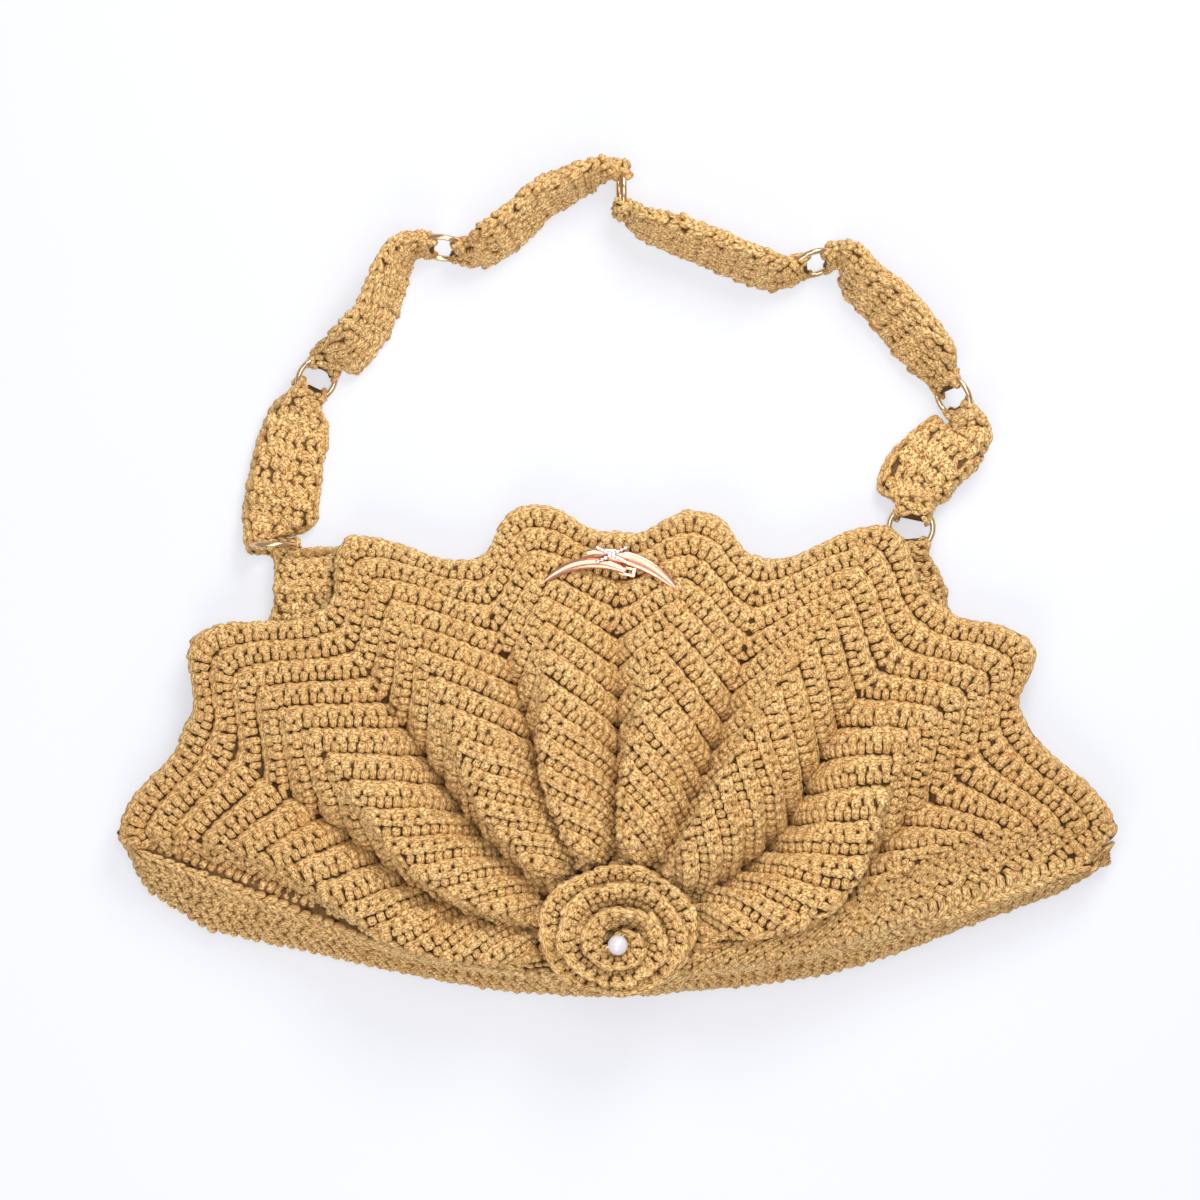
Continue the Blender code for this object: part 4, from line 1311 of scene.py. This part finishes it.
@dataclass
class Rosette:
    """The flower at the fan's foot: a crocheted ribbon in three and a half turns, and its pearl."""

    fan: FanSurface
    palette: Palette
    height: float = 0.017
    wall: float = 0.0030
    shell_wall: float = 0.0021
    shell_offset: float = 0.0018
    shell_climb: float = 0.95
    row_rise: float = 0.0003
    pearl_diameter: float = 0.008

    def ribbon(self, along: np.ndarray, climb: np.ndarray, offset: float = 0.0) -> np.ndarray:
        """Returns places on the ribbon, rolled from its outer end.

        Args:
            along: shares of the way from the outer end to the inner one.
            climb: shares of the way from the ribbon's foot to its lip.
            offset: how far off the outer face the places lie, towards the middle.

        Returns:
            One place for each pair of shares.
        """
        turns = [station.turn for station in ROSETTE_RIBBON]
        turn = along * turns[-1]
        foot, lip, tall = (
            np.interp(turn, turns, [getattr(station, name) for station in ROSETTE_RIBBON])
            for name in ("foot", "lip", "height")
        )
        radius = self.fan.sizes.rosette_radius
        angle = 2 * np.pi * turn - 0.4 * np.pi
        reach = (foot + (lip - foot) * climb) * radius
        reach = reach * (1 + 0.02 * np.sin(angle * 5.3) * climb) - offset * (1 - climb) ** 1.5
        rolled = 1 - (1 - np.clip(climb, 0, 1)) ** 2.3 - 0.10 * climb**4
        rise = self.fan.sizes.belly_top + self.fan.sizes.gap + tall * self.height * rolled
        rise = rise + offset * climb**0.5 + 0.0009 * np.sin(angle * 4.1 + 1.0) * climb
        flat = self.fan.sizes.rosette_flatness
        x = self.fan.centre[0] + 0.015 * radius * turn + reach * np.cos(angle)
        y = self.fan.centre[1] - 0.055 * radius * turn + reach * np.sin(angle) * flat
        return np.column_stack([x, y, rise + self.fan.sizes.shift[2]])

    def build(self) -> bpy.types.Object:
        """Builds the ribbon, its stitches, and the pearl with its thread.

        Returns:
            The ribbon's shell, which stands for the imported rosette.
        """

        def face(first: np.ndarray, second: np.ndarray) -> np.ndarray:
            """Returns the shell's places, facing the rosette's middle."""
            return self.ribbon(first, self.shell_climb * (1 - second), self.shell_offset)

        mesh = grid_mesh("rosette_shell", (160, 6), face)
        # The shell is painted in shade, dark between the stitches
        shell = walled_shell("rosette_shell", mesh, self.palette.shaded_inner_yarn, self.shell_wall)
        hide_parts("rosette")
        rows = stitch_rows(41, ("knot", "bead", "post", "head"), 0.11)
        along = np.linspace(0.002, 0.998, 900)
        for side, row in ROSETTE_ROWS:
            offset = self.wall if side is Face.UPPER else 0.0
            lines = (self.ribbon(along, np.full_like(along, climb), offset) for climb in row.lines)
            inner, outer, middle = (line[::-1] if side is Face.UPPER else line for line in lines)
            rows[row.stitch].add_row(middle, outer, inner, row.pitch, row.height, self.row_rise)
        stitches = show_rows("rosette", rows, self.palette)
        self.build_pearl()
        return shell

    def build_pearl(self) -> None:
        """Builds the pearl bead and the two ends of the thread that holds it."""
        low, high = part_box("pearl")
        centre = (low + high) / 2
        shape = bmesh.new()
        bmesh.ops.create_uvsphere(shape, u_segments=32, v_segments=20, radius=self.pearl_diameter / 2)
        bmesh.ops.translate(shape, verts=shape.verts, vec=centre)
        pearl = finish_object("pearl_bead", mesh_from(shape, "pearl_bead"), self.palette.pearl, "pearl")
        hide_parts("pearl")
        for name, way in (("left", Vector((-0.9, -0.15, 0.4))), ("upper", Vector((0.45, 0.8, 0.4)))):
            route = [centre + way.normalized() * self.pearl_diameter * share for share in (0.40, 0.52, 0.66)]
            sizes = [(half, half) for half in (0.0004, 0.0004, 0.0001)]
            mesh = tube_mesh(f"pearl_{name}_thread", route, sizes, UP)
            finish_object(f"pearl_{name}_thread", mesh, self.palette.thread, "pearl")


# The strap: its rings and bands


@dataclass(frozen=True)
class RingPlace:
    """One strap ring: shares of the strap's half span and rise, its pull heading and tilt."""

    across: float
    up: float
    heading: float
    tilt: float
    lift: float = 0.0


RINGS = (
    RingPlace(-0.935, 0.0, 0.0, 88.0),
    RingPlace(-0.818, 0.43, 60.0, 38.0),
    RingPlace(-0.475, 0.77, -8.0, 64.0),
    RingPlace(0.012, 0.92, -88.0, 84.0),
    RingPlace(0.537, 0.73, 18.0, 62.0),
    RingPlace(0.915, 0.384, -62.0, 50.0),
    RingPlace(0.800, 0.046, -98.0, 0.0, 1.0),
)


@dataclass(frozen=True)
class Hold:
    """How a band holds a ring: the clock angle round it, and 1 or -1 along its hole's axis."""

    clock: float
    across: int = 0


@dataclass(frozen=True)
class Band:
    """One band between two rings: its holds, and rows of across, up, roll and width shares."""

    start: Hold
    end: Hold
    rows: tuple[tuple[float, float, float, float], ...]


BANDS = (
    Band(
        Hold(225.0, -1),
        Hold(180.0),
        (
            (-0.92, 0.075, 4.0, 1.0), (-0.91, 0.14, 4.0, 1.0), (-0.89, 0.25, 3.0, 0.95),
            (-0.865, 0.325, 8.0, 0.85),
        ),
    ),
    Band(
        Hold(0.0),
        Hold(180.0),
        (
            (-0.75, 0.49, 45.0, 0.8), (-0.71, 0.53, 56.0, 1.0), (-0.66, 0.59, 63.0, 1.0),
            (-0.62, 0.69, 68.0, 1.0), (-0.59, 0.75, 66.0, 0.9),
        ),
    ),
    Band(
        Hold(0.0),
        Hold(180.0, 1),
        (
            (-0.37, 0.77, 62.0, 0.9), (-0.30, 0.81, 64.0, 1.0), (-0.21, 0.89, 68.0, 1.0),
            (-0.11, 0.94, 72.0, 1.0), (-0.05, 0.965, 76.0, 0.9),
        ),
    ),
    Band(
        Hold(0.0, -1),
        Hold(180.0),
        (
            (0.06, 0.84, 76.0, 0.9), (0.14, 0.81, 70.0, 1.0), (0.25, 0.77, 68.0, 1.0),
            (0.35, 0.73, 67.0, 1.0), (0.42, 0.71, 64.0, 0.9),
        ),
    ),
    Band(
        Hold(0.0),
        Hold(180.0),
        (
            (0.63, 0.73, 60.0, 0.9), (0.67, 0.68, 57.0, 1.0), (0.75, 0.61, 52.0, 1.0),
            (0.81, 0.54, 52.0, 1.0), (0.86, 0.48, 52.0, 0.9),
        ),
    ),
    Band(
        Hold(0.0),
        Hold(180.0),
        (
            (0.95, 0.30, 35.0, 0.75), (0.92, 0.27, 20.0, 0.95), (0.84, 0.20, 10.0, 1.0),
            (0.80, 0.14, 4.0, 0.95),
        ),
    ),
)
# Each tab's sections from its ring into the bag: shares across and up the fan and of the tab's width
LEFT_TAB = (
    (-0.622, 0.905, 1.0), (-0.620, 0.860, 1.0), (-0.625, 0.780, 1.0), (-0.680, 0.640, 0.95),
    (-0.780, 0.480, 0.80), (-0.860, 0.370, 0.50),
)
RIGHT_TAB = (
    (0.565, 0.890, 0.95), (0.590, 0.830, 1.0), (0.600, 0.770, 1.0), (0.670, 0.620, 0.95),
    (0.760, 0.470, 0.80), (0.850, 0.370, 0.50),
)
# Sections of a band's folded end: the reach off the wire as a share of the knuckle's, then shares
# of the fold's width and thickness, and how far its borders follow the wire's bend
GRIP_SECTIONS = (
    (-0.95, 0.80, 0.35, 1.0), (-0.72, 0.94, 0.80, 1.0), (0.0, 1.0, 1.08, 1.0), (1.0, 1.05, 1.0, 0.6),
)


@dataclass
class BandPath:
    """The line of a band: middles, side ways and sizes at its sections."""

    middles: list[Vector] = field(default_factory=list)
    sides: list[Vector] = field(default_factory=list)
    depths: list[Vector] = field(default_factory=list)
    widths: list[float] = field(default_factory=list)
    thicknesses: list[float] = field(default_factory=list)
    sags: list[Vector] = field(default_factory=list)

    def add(
        self,
        middle: Vector,
        side: Vector,
        run: Vector,
        width: float,
        thickness: float,
        sag: Vector = Vector(),
    ) -> None:
        """Adds one section, turned so that it doesn't flip against the one before.

        Args:
            middle: the section's middle.
            side: the way of its width.
            run: the way of the band.
            width: its width.
            thickness: its thickness.
            sag: how far its borders are drawn against its middle.
        """
        side = side.normalized()
        if self.sides and self.sides[-1].dot(side) < 0:
            side = -side
        self.middles.append(middle)
        self.sides.append(side)
        self.depths.append(run.cross(side).normalized())
        self.widths.append(width)
        self.thicknesses.append(thickness)
        self.sags.append(sag)

    def read(self, along: np.ndarray) -> dict[str, np.ndarray]:
        """Returns the smoothed sections at shares of the way along."""
        steps = [0.0]
        for before, after in zip(self.middles, self.middles[1:]):
            steps.append(steps[-1] + max((after - before).length, 0.001) ** 0.5)
        knots = np.array(steps) / steps[-1]
        even = np.interp(along, knots, np.linspace(0, 1, len(knots)))
        return {
            name: catmull_rom(np.array(getattr(self, name), dtype=float).reshape(len(knots), -1), even)
            for name in ("middles", "sides", "depths", "widths", "thicknesses", "sags")
        }

    def place(self, along: np.ndarray, across: np.ndarray, out: float) -> np.ndarray:
        """Returns places on the band.

        Args:
            along: shares of the way along.
            across: shares of the half width, from -1 to 1.
            out: 1 on its upper face, 0 in its middle and -1 on its lower face.

        Returns:
            One place for each pair of shares.
        """
        read = self.read(along)
        flat = np.sqrt(np.clip(1 - np.abs(across) ** 4, 0, 1))[:, None]
        half = across[:, None] * read["widths"] / 2
        place = read["middles"] + normalised(read["sides"]) * half
        place = place + normalised(read["depths"]) * read["thicknesses"] / 2 * out * flat
        return place + read["sags"] * (across**2)[:, None]

    def length(self) -> float:
        """Returns the band's length along its middle."""
        line = self.read(np.linspace(0, 1, 60))["middles"]
        return float(np.linalg.norm(np.diff(line, axis=0), axis=1).sum())


@dataclass
class Strap:
    """Seven rings, six bands and the two side tabs that hold the end rings."""

    sizes: Place
    palette: Palette
    ring_diameter: float = 0.020
    ring_wire: float = 0.0024
    band_width: float = 0.028
    band_thickness: float = 0.0060
    tab_width: float = 0.0264
    tab_thickness: float = 0.0040
    knuckle_width: float = 0.0094
    knuckle_wall: float = 0.0016
    clearance: float = 0.0004
    fold_width: float = 0.0138
    fold_thickness: float = 0.0056
    stitch_pitch: float = 0.0043
    line_pitch: float = 0.0036
    line_overlap: float = 0.12
    stitch_height: float = 0.0034
    stitch_rise: float = 0.0002
    edge_rise: float = 0.0004
    section_power: float = 0.6
    border_share: float = 0.93
    row_reach: float = 0.92
    shell_depth: float = 0.90
    row_depth: float = 0.86
    edge_depth: float = 1.5

    @property
    def ring_radius(self) -> float:
        """The radius of a ring to the middle of its wire."""
        return (self.ring_diameter - self.ring_wire) / 2

    @property
    def wall_reach(self) -> float:
        """How far a knuckle reaches from the wire's middle."""
        return self.ring_wire / 2 + self.clearance + self.knuckle_wall

    def ring_matrix(self, place: RingPlace) -> Matrix:
        """Returns the placing of one ring: its X axis is the pull heading, its Z axis the hole's."""
        heading, tilt = math.radians(place.heading), math.radians(place.tilt)
        pull = Vector((math.cos(heading), math.sin(heading), 0.0))
        level = Vector((-math.sin(heading), math.cos(heading), 0.0))
        side = level * math.cos(tilt) + Vector((0.0, 0.0, math.sin(tilt)))
        hole = pull.cross(side)
        centre = Vector(self.sizes.strap(place.across, place.up))
        ring_rest = self.ring_diameter / 2 * math.sin(tilt) + self.ring_wire / 2 * math.cos(tilt)
        knuckle_rest = self.wall_reach * math.cos(tilt) + self.knuckle_width * math.sin(tilt) / 2
        lift = place.lift * (self.sizes.wall + self.sizes.gap)
        centre.z += max(ring_rest, knuckle_rest) + self.sizes.gap + lift
        return Matrix.Translation(centre) @ Matrix((pull, side, hole)).transposed().to_4x4()

    def build_ring(self, number: int) -> None:
        """Spins one ring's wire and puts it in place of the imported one."""
        shape = bmesh.new()
        wire = bmesh.ops.create_circle(shape, cap_ends=False, segments=12, radius=self.ring_wire / 2)
        circle = wire["verts"]
        bmesh.ops.rotate(shape, verts=circle, cent=ORIGIN, matrix=Matrix.Rotation(math.pi / 2, 3, "X"))
        bmesh.ops.translate(shape, verts=circle, vec=(self.ring_radius, 0, 0))
        bmesh.ops.spin(
            shape,
            geom=shape.verts[:] + shape.edges[:],
            cent=ORIGIN,
            axis=UP,
            angle=2 * math.pi,
            steps=48,
            use_merge=True,
            use_duplicate=False,
        )
        bmesh.ops.recalc_face_normals(shape, faces=shape.faces)
        bmesh.ops.transform(shape, matrix=self.ring_matrix(RINGS[number]), verts=shape.verts)
        name = f"ring_{number + 1}"
        ring = finish_object(name, mesh_from(shape, name), self.palette.pale_gold, "pale_gold")
        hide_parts(f"strap_ring_{number + 1}")

    def add_grip(self, path: BandPath, number: int, hold: Hold, leaving: bool) -> None:
        """Adds the folded end of a band, which wraps a ring's wire.

        Args:
            path: the band's path.
            number: the ring's number from 0.
            hold: how the band holds it.
            leaving: True where the band starts on the ring.
        """
        placing = self.ring_matrix(RINGS[number])
        turned = placing.to_3x3() @ Matrix.Rotation(math.radians(hold.clock), 3, "Z")
        radial, tangent, hole = (turned.col[axis].normalized() for axis in range(3))
        wire = placing.translation + radial * self.ring_radius
        away = hole * hold.across if hold.across else radial
        run = away if leaving else -away
        sag = -radial * (self.ring_radius - math.sqrt(self.ring_radius**2 - (self.fold_width / 2) ** 2))
        sections = []
        for reach, width_share, depth_share, sag_share in GRIP_SECTIONS:
            middle = wire + away * (reach * self.wall_reach)
            size = self.fold_width * width_share, self.fold_thickness * depth_share
            sections.append((middle, tangent, run, *size, sag * sag_share))
        for section in sections if leaving else sections[::-1]:
            path.add(*section)

    def add_laid(
        self, path: BandPath, place: np.ndarray, run: Vector, roll: float, width: float, deep: float
    ) -> None:
        """Adds a section that lies on the surface, rolled about its run by degrees."""
        level = Vector((-run.y, run.x, 0.0)).normalized()
        angle = math.radians(roll)
        side = level * math.cos(angle) + Vector((0.0, 0.0, math.sin(angle)))
        rest = (width * abs(math.sin(angle)) + deep * abs(math.cos(angle))) / 2
        path.add(Vector((place[0], place[1], place[2] + rest)), side, run, width, deep)

    def band_path(self, number: int) -> BandPath:
        """Returns the path of one band between its two rings."""
        band = BANDS[number]
        path = BandPath()
        self.add_grip(path, number, band.start, True)
        ends = [Vector(self.ring_matrix(RINGS[number + step]).translation) for step in (0, 1)]
        places = [Vector(self.sizes.strap(row[0], row[1])) for row in band.rows]
        route = [ends[0], *places, ends[1]]
        for row, before, place, after in zip(band.rows, route, places, route[2:]):
            run = Vector((after.x - before.x, after.y - before.y, 0.0)).normalized()
            spot = np.array([place.x, place.y, self.sizes.gap])
            self.add_laid(path, spot, run, row[2], row[3] * self.band_width, self.band_thickness)
        self.add_grip(path, number + 1, band.end, False)
        return path

    def tab_path(self, number: int, hold: Hold, rows: tuple) -> BandPath:
        """Returns the path of one side tab from its ring down into the bag."""
        path = BandPath()
        self.add_grip(path, number, hold, True)
        for across, up, width in rows:
            spot = self.sizes.fan(across, up)
            spot[2] = self.sizes.wall + self.sizes.gap
            self.add_laid(path, spot, Vector((0, -1, 0)), 0.0, width * self.tab_width, self.tab_thickness)
        return path

    def build_band(self, name: str, node: str, path: BandPath, seed: int) -> None:
        """Builds a band's shell and lays its grid of stitches on both faces and its borders.

        Args:
            name: the band's name.
            node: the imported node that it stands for.
            path: its line.
            seed: the seed of its stitches' chance.
        """
        length = path.length()
        steps = max(8, int(length / 0.004))

        def face(first: np.ndarray, second: np.ndarray) -> np.ndarray:
            """Returns the shell's places round the band's section."""
            angle = second * 2 * np.pi
            wide, out = (
                np.sign(wave) * np.abs(wave) ** self.section_power for wave in (np.cos(angle), np.sin(angle))
            )
            wide = wide * self.border_share
            upper, lower = (path.place(first, wide, side) for side in (self.shell_depth, -self.shell_depth))
            share = ((out + 1) / 2)[:, None]
            return upper * share + lower * (1 - share)

        mesh = grid_mesh(f"{name}_shell", (steps, 20), face)
        shape = bmesh.new()
        shape.from_mesh(mesh)
        bmesh.ops.remove_doubles(shape, verts=shape.verts, dist=0.00005)
        bmesh.ops.holes_fill(shape, edges=shape.edges, sides=24)
        bmesh.ops.recalc_face_normals(shape, faces=shape.faces)
        shape.to_mesh(mesh)
        shape.free()
        # The shell is painted in shade, dark between the stitches
        shell = finish_object(f"{name}_shell", mesh, self.palette.shaded_inner_yarn, "golden_crochet")
        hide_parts(node)
        rows = stitch_rows(seed, ("knot", "bead", "chain"), 0.12)
        lines = max(3, round(length / self.line_pitch))
        across = np.linspace(-self.row_reach, self.row_reach, 40)
        for line in range(lines):
            reach = (line - self.line_overlap, line + 1 + self.line_overlap)
            borders = [min(1.0, max(0.0, step / lines)) for step in reach]
            for face_side in (Face.UPPER, Face.LOWER):
                inner, outer, middle = (
                    path.place(np.full_like(across, share), across, self.row_depth * face_side.value)
                    for share in (*borders, sum(borders) / 2)
                )
                if face_side is Face.LOWER:
                    inner, outer = outer, inner
                wide = np.linalg.norm(middle[-1] - middle[0])
                pitch = wide / max(2, round(wide / self.stitch_pitch)) * 0.999
                offset = 0.25 - 0.5 * (line % 2)
                rows["bead" if line % 3 else "knot"].add_row(
                    middle, inner, outer, pitch, self.stitch_height, self.stitch_rise, offset=offset
                )
        along = np.linspace(0.01, 0.99, 120)
        for edge in (-1.0, 1.0):
            upper, lower, middle = (
                path.place(along, np.full_like(along, edge * self.border_share), side)
                for side in (self.edge_depth, -self.edge_depth, 0.0)
            )
            if edge > 0:
                upper, lower = lower, upper
            rows["chain"].add_row(
                middle, upper, lower, self.stitch_pitch, self.stitch_height, self.edge_rise
            )
        stitches = show_rows(name, rows, self.palette)

    def build(self) -> None:
        """Builds the rings, bands and tabs."""
        for number in range(len(RINGS)):
            self.build_ring(number)
        for number in range(len(BANDS)):
            path = self.band_path(number)
            self.build_band(f"band_{number + 1}", f"strap_band_{number + 1}", path, 50 + number)
        self.build_band("left_side_tab", "left_tab", self.tab_path(0, Hold(315.0, 1), LEFT_TAB), 61)
        right = self.tab_path(len(RINGS) - 1, Hold(0.0), RIGHT_TAB)
        self.build_band("right_side_tab", "right_tab", right, 62)


# The brooch


# Each arm from its root to its tip: millimetres right of and above the middle, and its width
LEFT_ARM = (
    (6.0, -6.0, 2.2), (2.0, -4.3, 3.2), (-3.0, -3.0, 3.7), (-9.0, -2.9, 3.8), (-15.0, -4.1, 3.5),
    (-20.0, -6.2, 2.8), (-24.6, -8.9, 1.9), (-28.2, -11.8, 0.5),
)
RIGHT_ARM = (
    (-9.4, 0.6, 2.8), (-5.0, 1.0, 3.5), (1.0, 0.5, 4.1), (8.0, -1.3, 4.6), (14.0, -3.7, 4.4),
    (19.5, -7.0, 3.6), (24.2, -10.9, 2.5), (28.2, -15.0, 0.6),
)
MILLIMETRE = 0.001
# The bars of the catch's frame: their sizes and places about its middle
CATCH_BARS = (
    ((0.0065, 0.0009, 0.0016), (0.0, -0.0013, 0.0)),
    ((0.0065, 0.0009, 0.0016), (0.0, 0.0013, 0.0)),
    ((0.0009, 0.0034, 0.0018), (-0.0028, 0.0, 0.0)),
    ((0.0016, 0.0036, 0.0020), (0.0026, 0.0, 0.0)),
)


@dataclass
class Brooch:
    """Two crossed rose-gold crescents under a cross of cut stones, with the pin's catch."""

    fan: FanSurface
    palette: Palette
    thickness: float = 0.0030
    breadth: float = 1.25
    stone_diameter: float = 0.0015
    stone_strand: float = 0.0125
    stones_a_strand: int = 8
    tip_drop: float = 0.0008
    tip_taper: float = 0.55
    tip_width: float = 0.0004
    arm_lift: float = 0.0012
    stone_lift: float = 0.0016
    rail_lift: float = 0.0009

    def arm(self, rows: tuple, middle: Vector, root_lift: float, name: str) -> bpy.types.Object:
        """Builds one tapered, bowed arm with a crowned top.

        Args:
            rows: its line and widths.
            middle: the brooch's middle.
            root_lift: how far its root lies above the middle.
            name: its name.

        Returns:
            The arm.
        """
        table = np.array(rows) * MILLIMETRE
        shares = np.linspace(0, 1, 28)
        line = catmull_rom(table, shares)
        route, sizes = [], []
        for share, (right, above, width) in zip(shares, line):
            lift = root_lift * (1 - share) ** 2 - self.tip_drop * share**1.5
            route.append(middle + Vector((right, above, lift)))
            wide = max(width * self.breadth, self.tip_width) / 2
            sizes.append((wide, self.thickness * (1 - self.tip_taper * share) / 2))
        mesh = tube_mesh(name, route, sizes, Vector((0, -0.15, 1)).normalized(), sides=24)
        return finish_object(name, mesh, self.palette.rose_gold, "rose_gold")

    def build(self) -> None:
        """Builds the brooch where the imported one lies."""
        low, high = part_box("brooch")
        middle = Vector(self.fan.sizes.fan(-0.014, 0.896))
        middle.z = high.z - 0.6 * self.thickness
        left = self.arm(LEFT_ARM, middle, 0.0, "brooch_left_arm")
        self.arm(RIGHT_ARM, middle, self.arm_lift, "brooch_right_arm")
        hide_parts("brooch")
        self.build_catch(middle)
        self.build_stones(middle)

    def build_catch(self, middle: Vector) -> None:
        """Builds the catch: a bevelled frame under the right arm, and its bar."""
        shape = bmesh.new()
        spot = middle + Vector((0.0068, -0.0062, -0.0006))
        for size, offset in CATCH_BARS:
            made = bmesh.ops.create_cube(shape, size=1.0)["verts"]
            bmesh.ops.scale(shape, vec=size, verts=made)
            bmesh.ops.translate(shape, vec=offset, verts=made)
        bmesh.ops.bevel(
            shape,
            geom=shape.edges[:],
            offset=0.0002,
            segments=2,
            profile=0.5,
            affect="EDGES",
            material=-1,
        )
        turn = Matrix.Rotation(math.radians(-12), 3, "Z")
        bmesh.ops.rotate(shape, verts=shape.verts, cent=ORIGIN, matrix=turn)
        bmesh.ops.translate(shape, verts=shape.verts, vec=spot)
        mesh = mesh_from(shape, "brooch_catch", False)
        finish_object("brooch_catch", mesh, self.palette.rose_gold, "rose_gold")

    def build_stones(self, middle: Vector) -> None:
        """Builds the cross of cut stones on their rails, each a crown with a flat table."""
        shape = bmesh.new()
        for slope in (-1, 1):
            for step in range(self.stones_a_strand):
                share = (step + 0.5) / self.stones_a_strand - 0.5
                size = self.stone_diameter * (1.25 if abs(share) < 0.2 else 1.0)
                spot = middle + Vector((share, slope * 0.5 * share, 0.0)) * self.stone_strand
                spot += Vector((0.0006, 0.0004, self.thickness * 0.5 + self.stone_lift))
                made = bmesh.ops.create_cone(
                    shape, cap_ends=True, segments=8, radius1=size / 2, radius2=size * 0.28, depth=size * 0.5
                )["verts"]
                turn = Matrix.Rotation(0.4 * step, 3, "Z")
                bmesh.ops.rotate(shape, verts=made, cent=ORIGIN, matrix=turn)
                bmesh.ops.translate(shape, verts=made, vec=spot)
        mesh = mesh_from(shape, "brooch_stones", False)
        finish_object("brooch_stones", mesh, self.palette.stone, "rose_gold")
        for slope, name in ((-1, "brooch_falling_rail"), (1, "brooch_rising_rail")):
            half = Vector((0.5, slope * 0.25, 0.0)) * self.stone_strand
            base = middle + Vector((0.0006, 0.0004, self.thickness * 0.5 + self.rail_lift))
            route = [base + half * share for share in np.linspace(-1, 1, 9)]
            mesh = tube_mesh(name, route, [(0.0008, 0.0005)] * len(route), UP, sides=8)
            finish_object(name, mesh, self.palette.rose_gold, "rose_gold")


# The studio


# Each softbox's name, place, side and power in watts
SOFTBOXES = (
    ("key softbox", (0.30, 0.75, 0.8), 0.5, 8.8),
    ("fill softbox", (-0.25, -0.85, 0.75), 0.6, 4.0),
    ("overhead softbox", (0.0, 0.03, 0.85), 0.5, 2.6),
)


@dataclass
class Studio:
    """A light table, soft lights and a camera straight above the bag."""

    palette: Palette
    view_centre: tuple[float, float] = (-0.0068, -0.0093)
    view_width: float = 0.480
    focus_height: float = 0.020
    lens: float = 200.0
    floor_size: float = 6.0
    sky_colour: str = "#F4F6FA"
    sky_strength: float = 0.47

    def build(self) -> None:
        """Builds the floor, the lights and the camera."""
        shape = bmesh.new()
        bmesh.ops.create_grid(shape, x_segments=2, y_segments=2, size=self.floor_size / 2)
        floor = finish_object("floor", mesh_from(shape, "floor"), self.palette.light_table, None)
        for softbox in SOFTBOXES:
            self.add_light(*softbox)
        world = bpy.data.worlds.new("studio air")
        world.use_nodes = True
        sky = world.node_tree.nodes["Background"]
        sky.inputs["Color"].default_value = to_linear(self.sky_colour)
        sky.inputs["Strength"].default_value = self.sky_strength
        scene = bpy.context.scene
        scene.world = world
        scene.view_settings.view_transform = "Standard"
        camera = bpy.data.cameras.new("camera")
        camera.lens = self.lens
        distance = self.view_width * self.lens / camera.sensor_width
        camera.clip_end = 20.0
        eye = bpy.data.objects.new("camera", camera)
        scene.collection.objects.link(eye)
        eye.location = (*self.view_centre, self.focus_height + distance)
        scene.camera = eye

    def add_light(self, name: str, place: tuple[float, float, float], size: float, power: float) -> None:
        """Adds a square softbox that points at the bag.

        Args:
            name: the light's name.
            place: where it stands.
            size: the length of its sides.
            power: its power in watts.
        """
        light = bpy.data.lights.new(name, "AREA")
        light.shape = "SQUARE"
        light.size = size
        light.energy = power
        item = bpy.data.objects.new(name, light)
        bpy.context.scene.collection.objects.link(item)
        item.location = place
        item.rotation_euler = (-Vector(place)).to_track_quat("-Z", "Y").to_euler()


def corners(box: tuple[Vector, Vector]) -> list[list[float]]:
    """Returns a box's two corners as plain lists of numbers."""
    return [[round(value, 6) for value in corner] for corner in box]


def main() -> None:
    """Builds the bag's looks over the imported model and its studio."""
    logging.basicConfig(level=logging.INFO, format="%(name)s: %(message)s")
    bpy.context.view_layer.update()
    palette = Palette()
    sizes = Place()
    fan = FanSurface(sizes)
    Studio(palette).build()
    BackPanel(FanSurface(sizes, back_folds()), palette).build()
    Gusset(fan, palette).build()
    FrontPanel(fan, palette).build()
    Rosette(fan, palette).build()
    Strap(sizes, palette).build()
    Brooch(fan, palette).build()


if __name__ == "__main__":
    main()
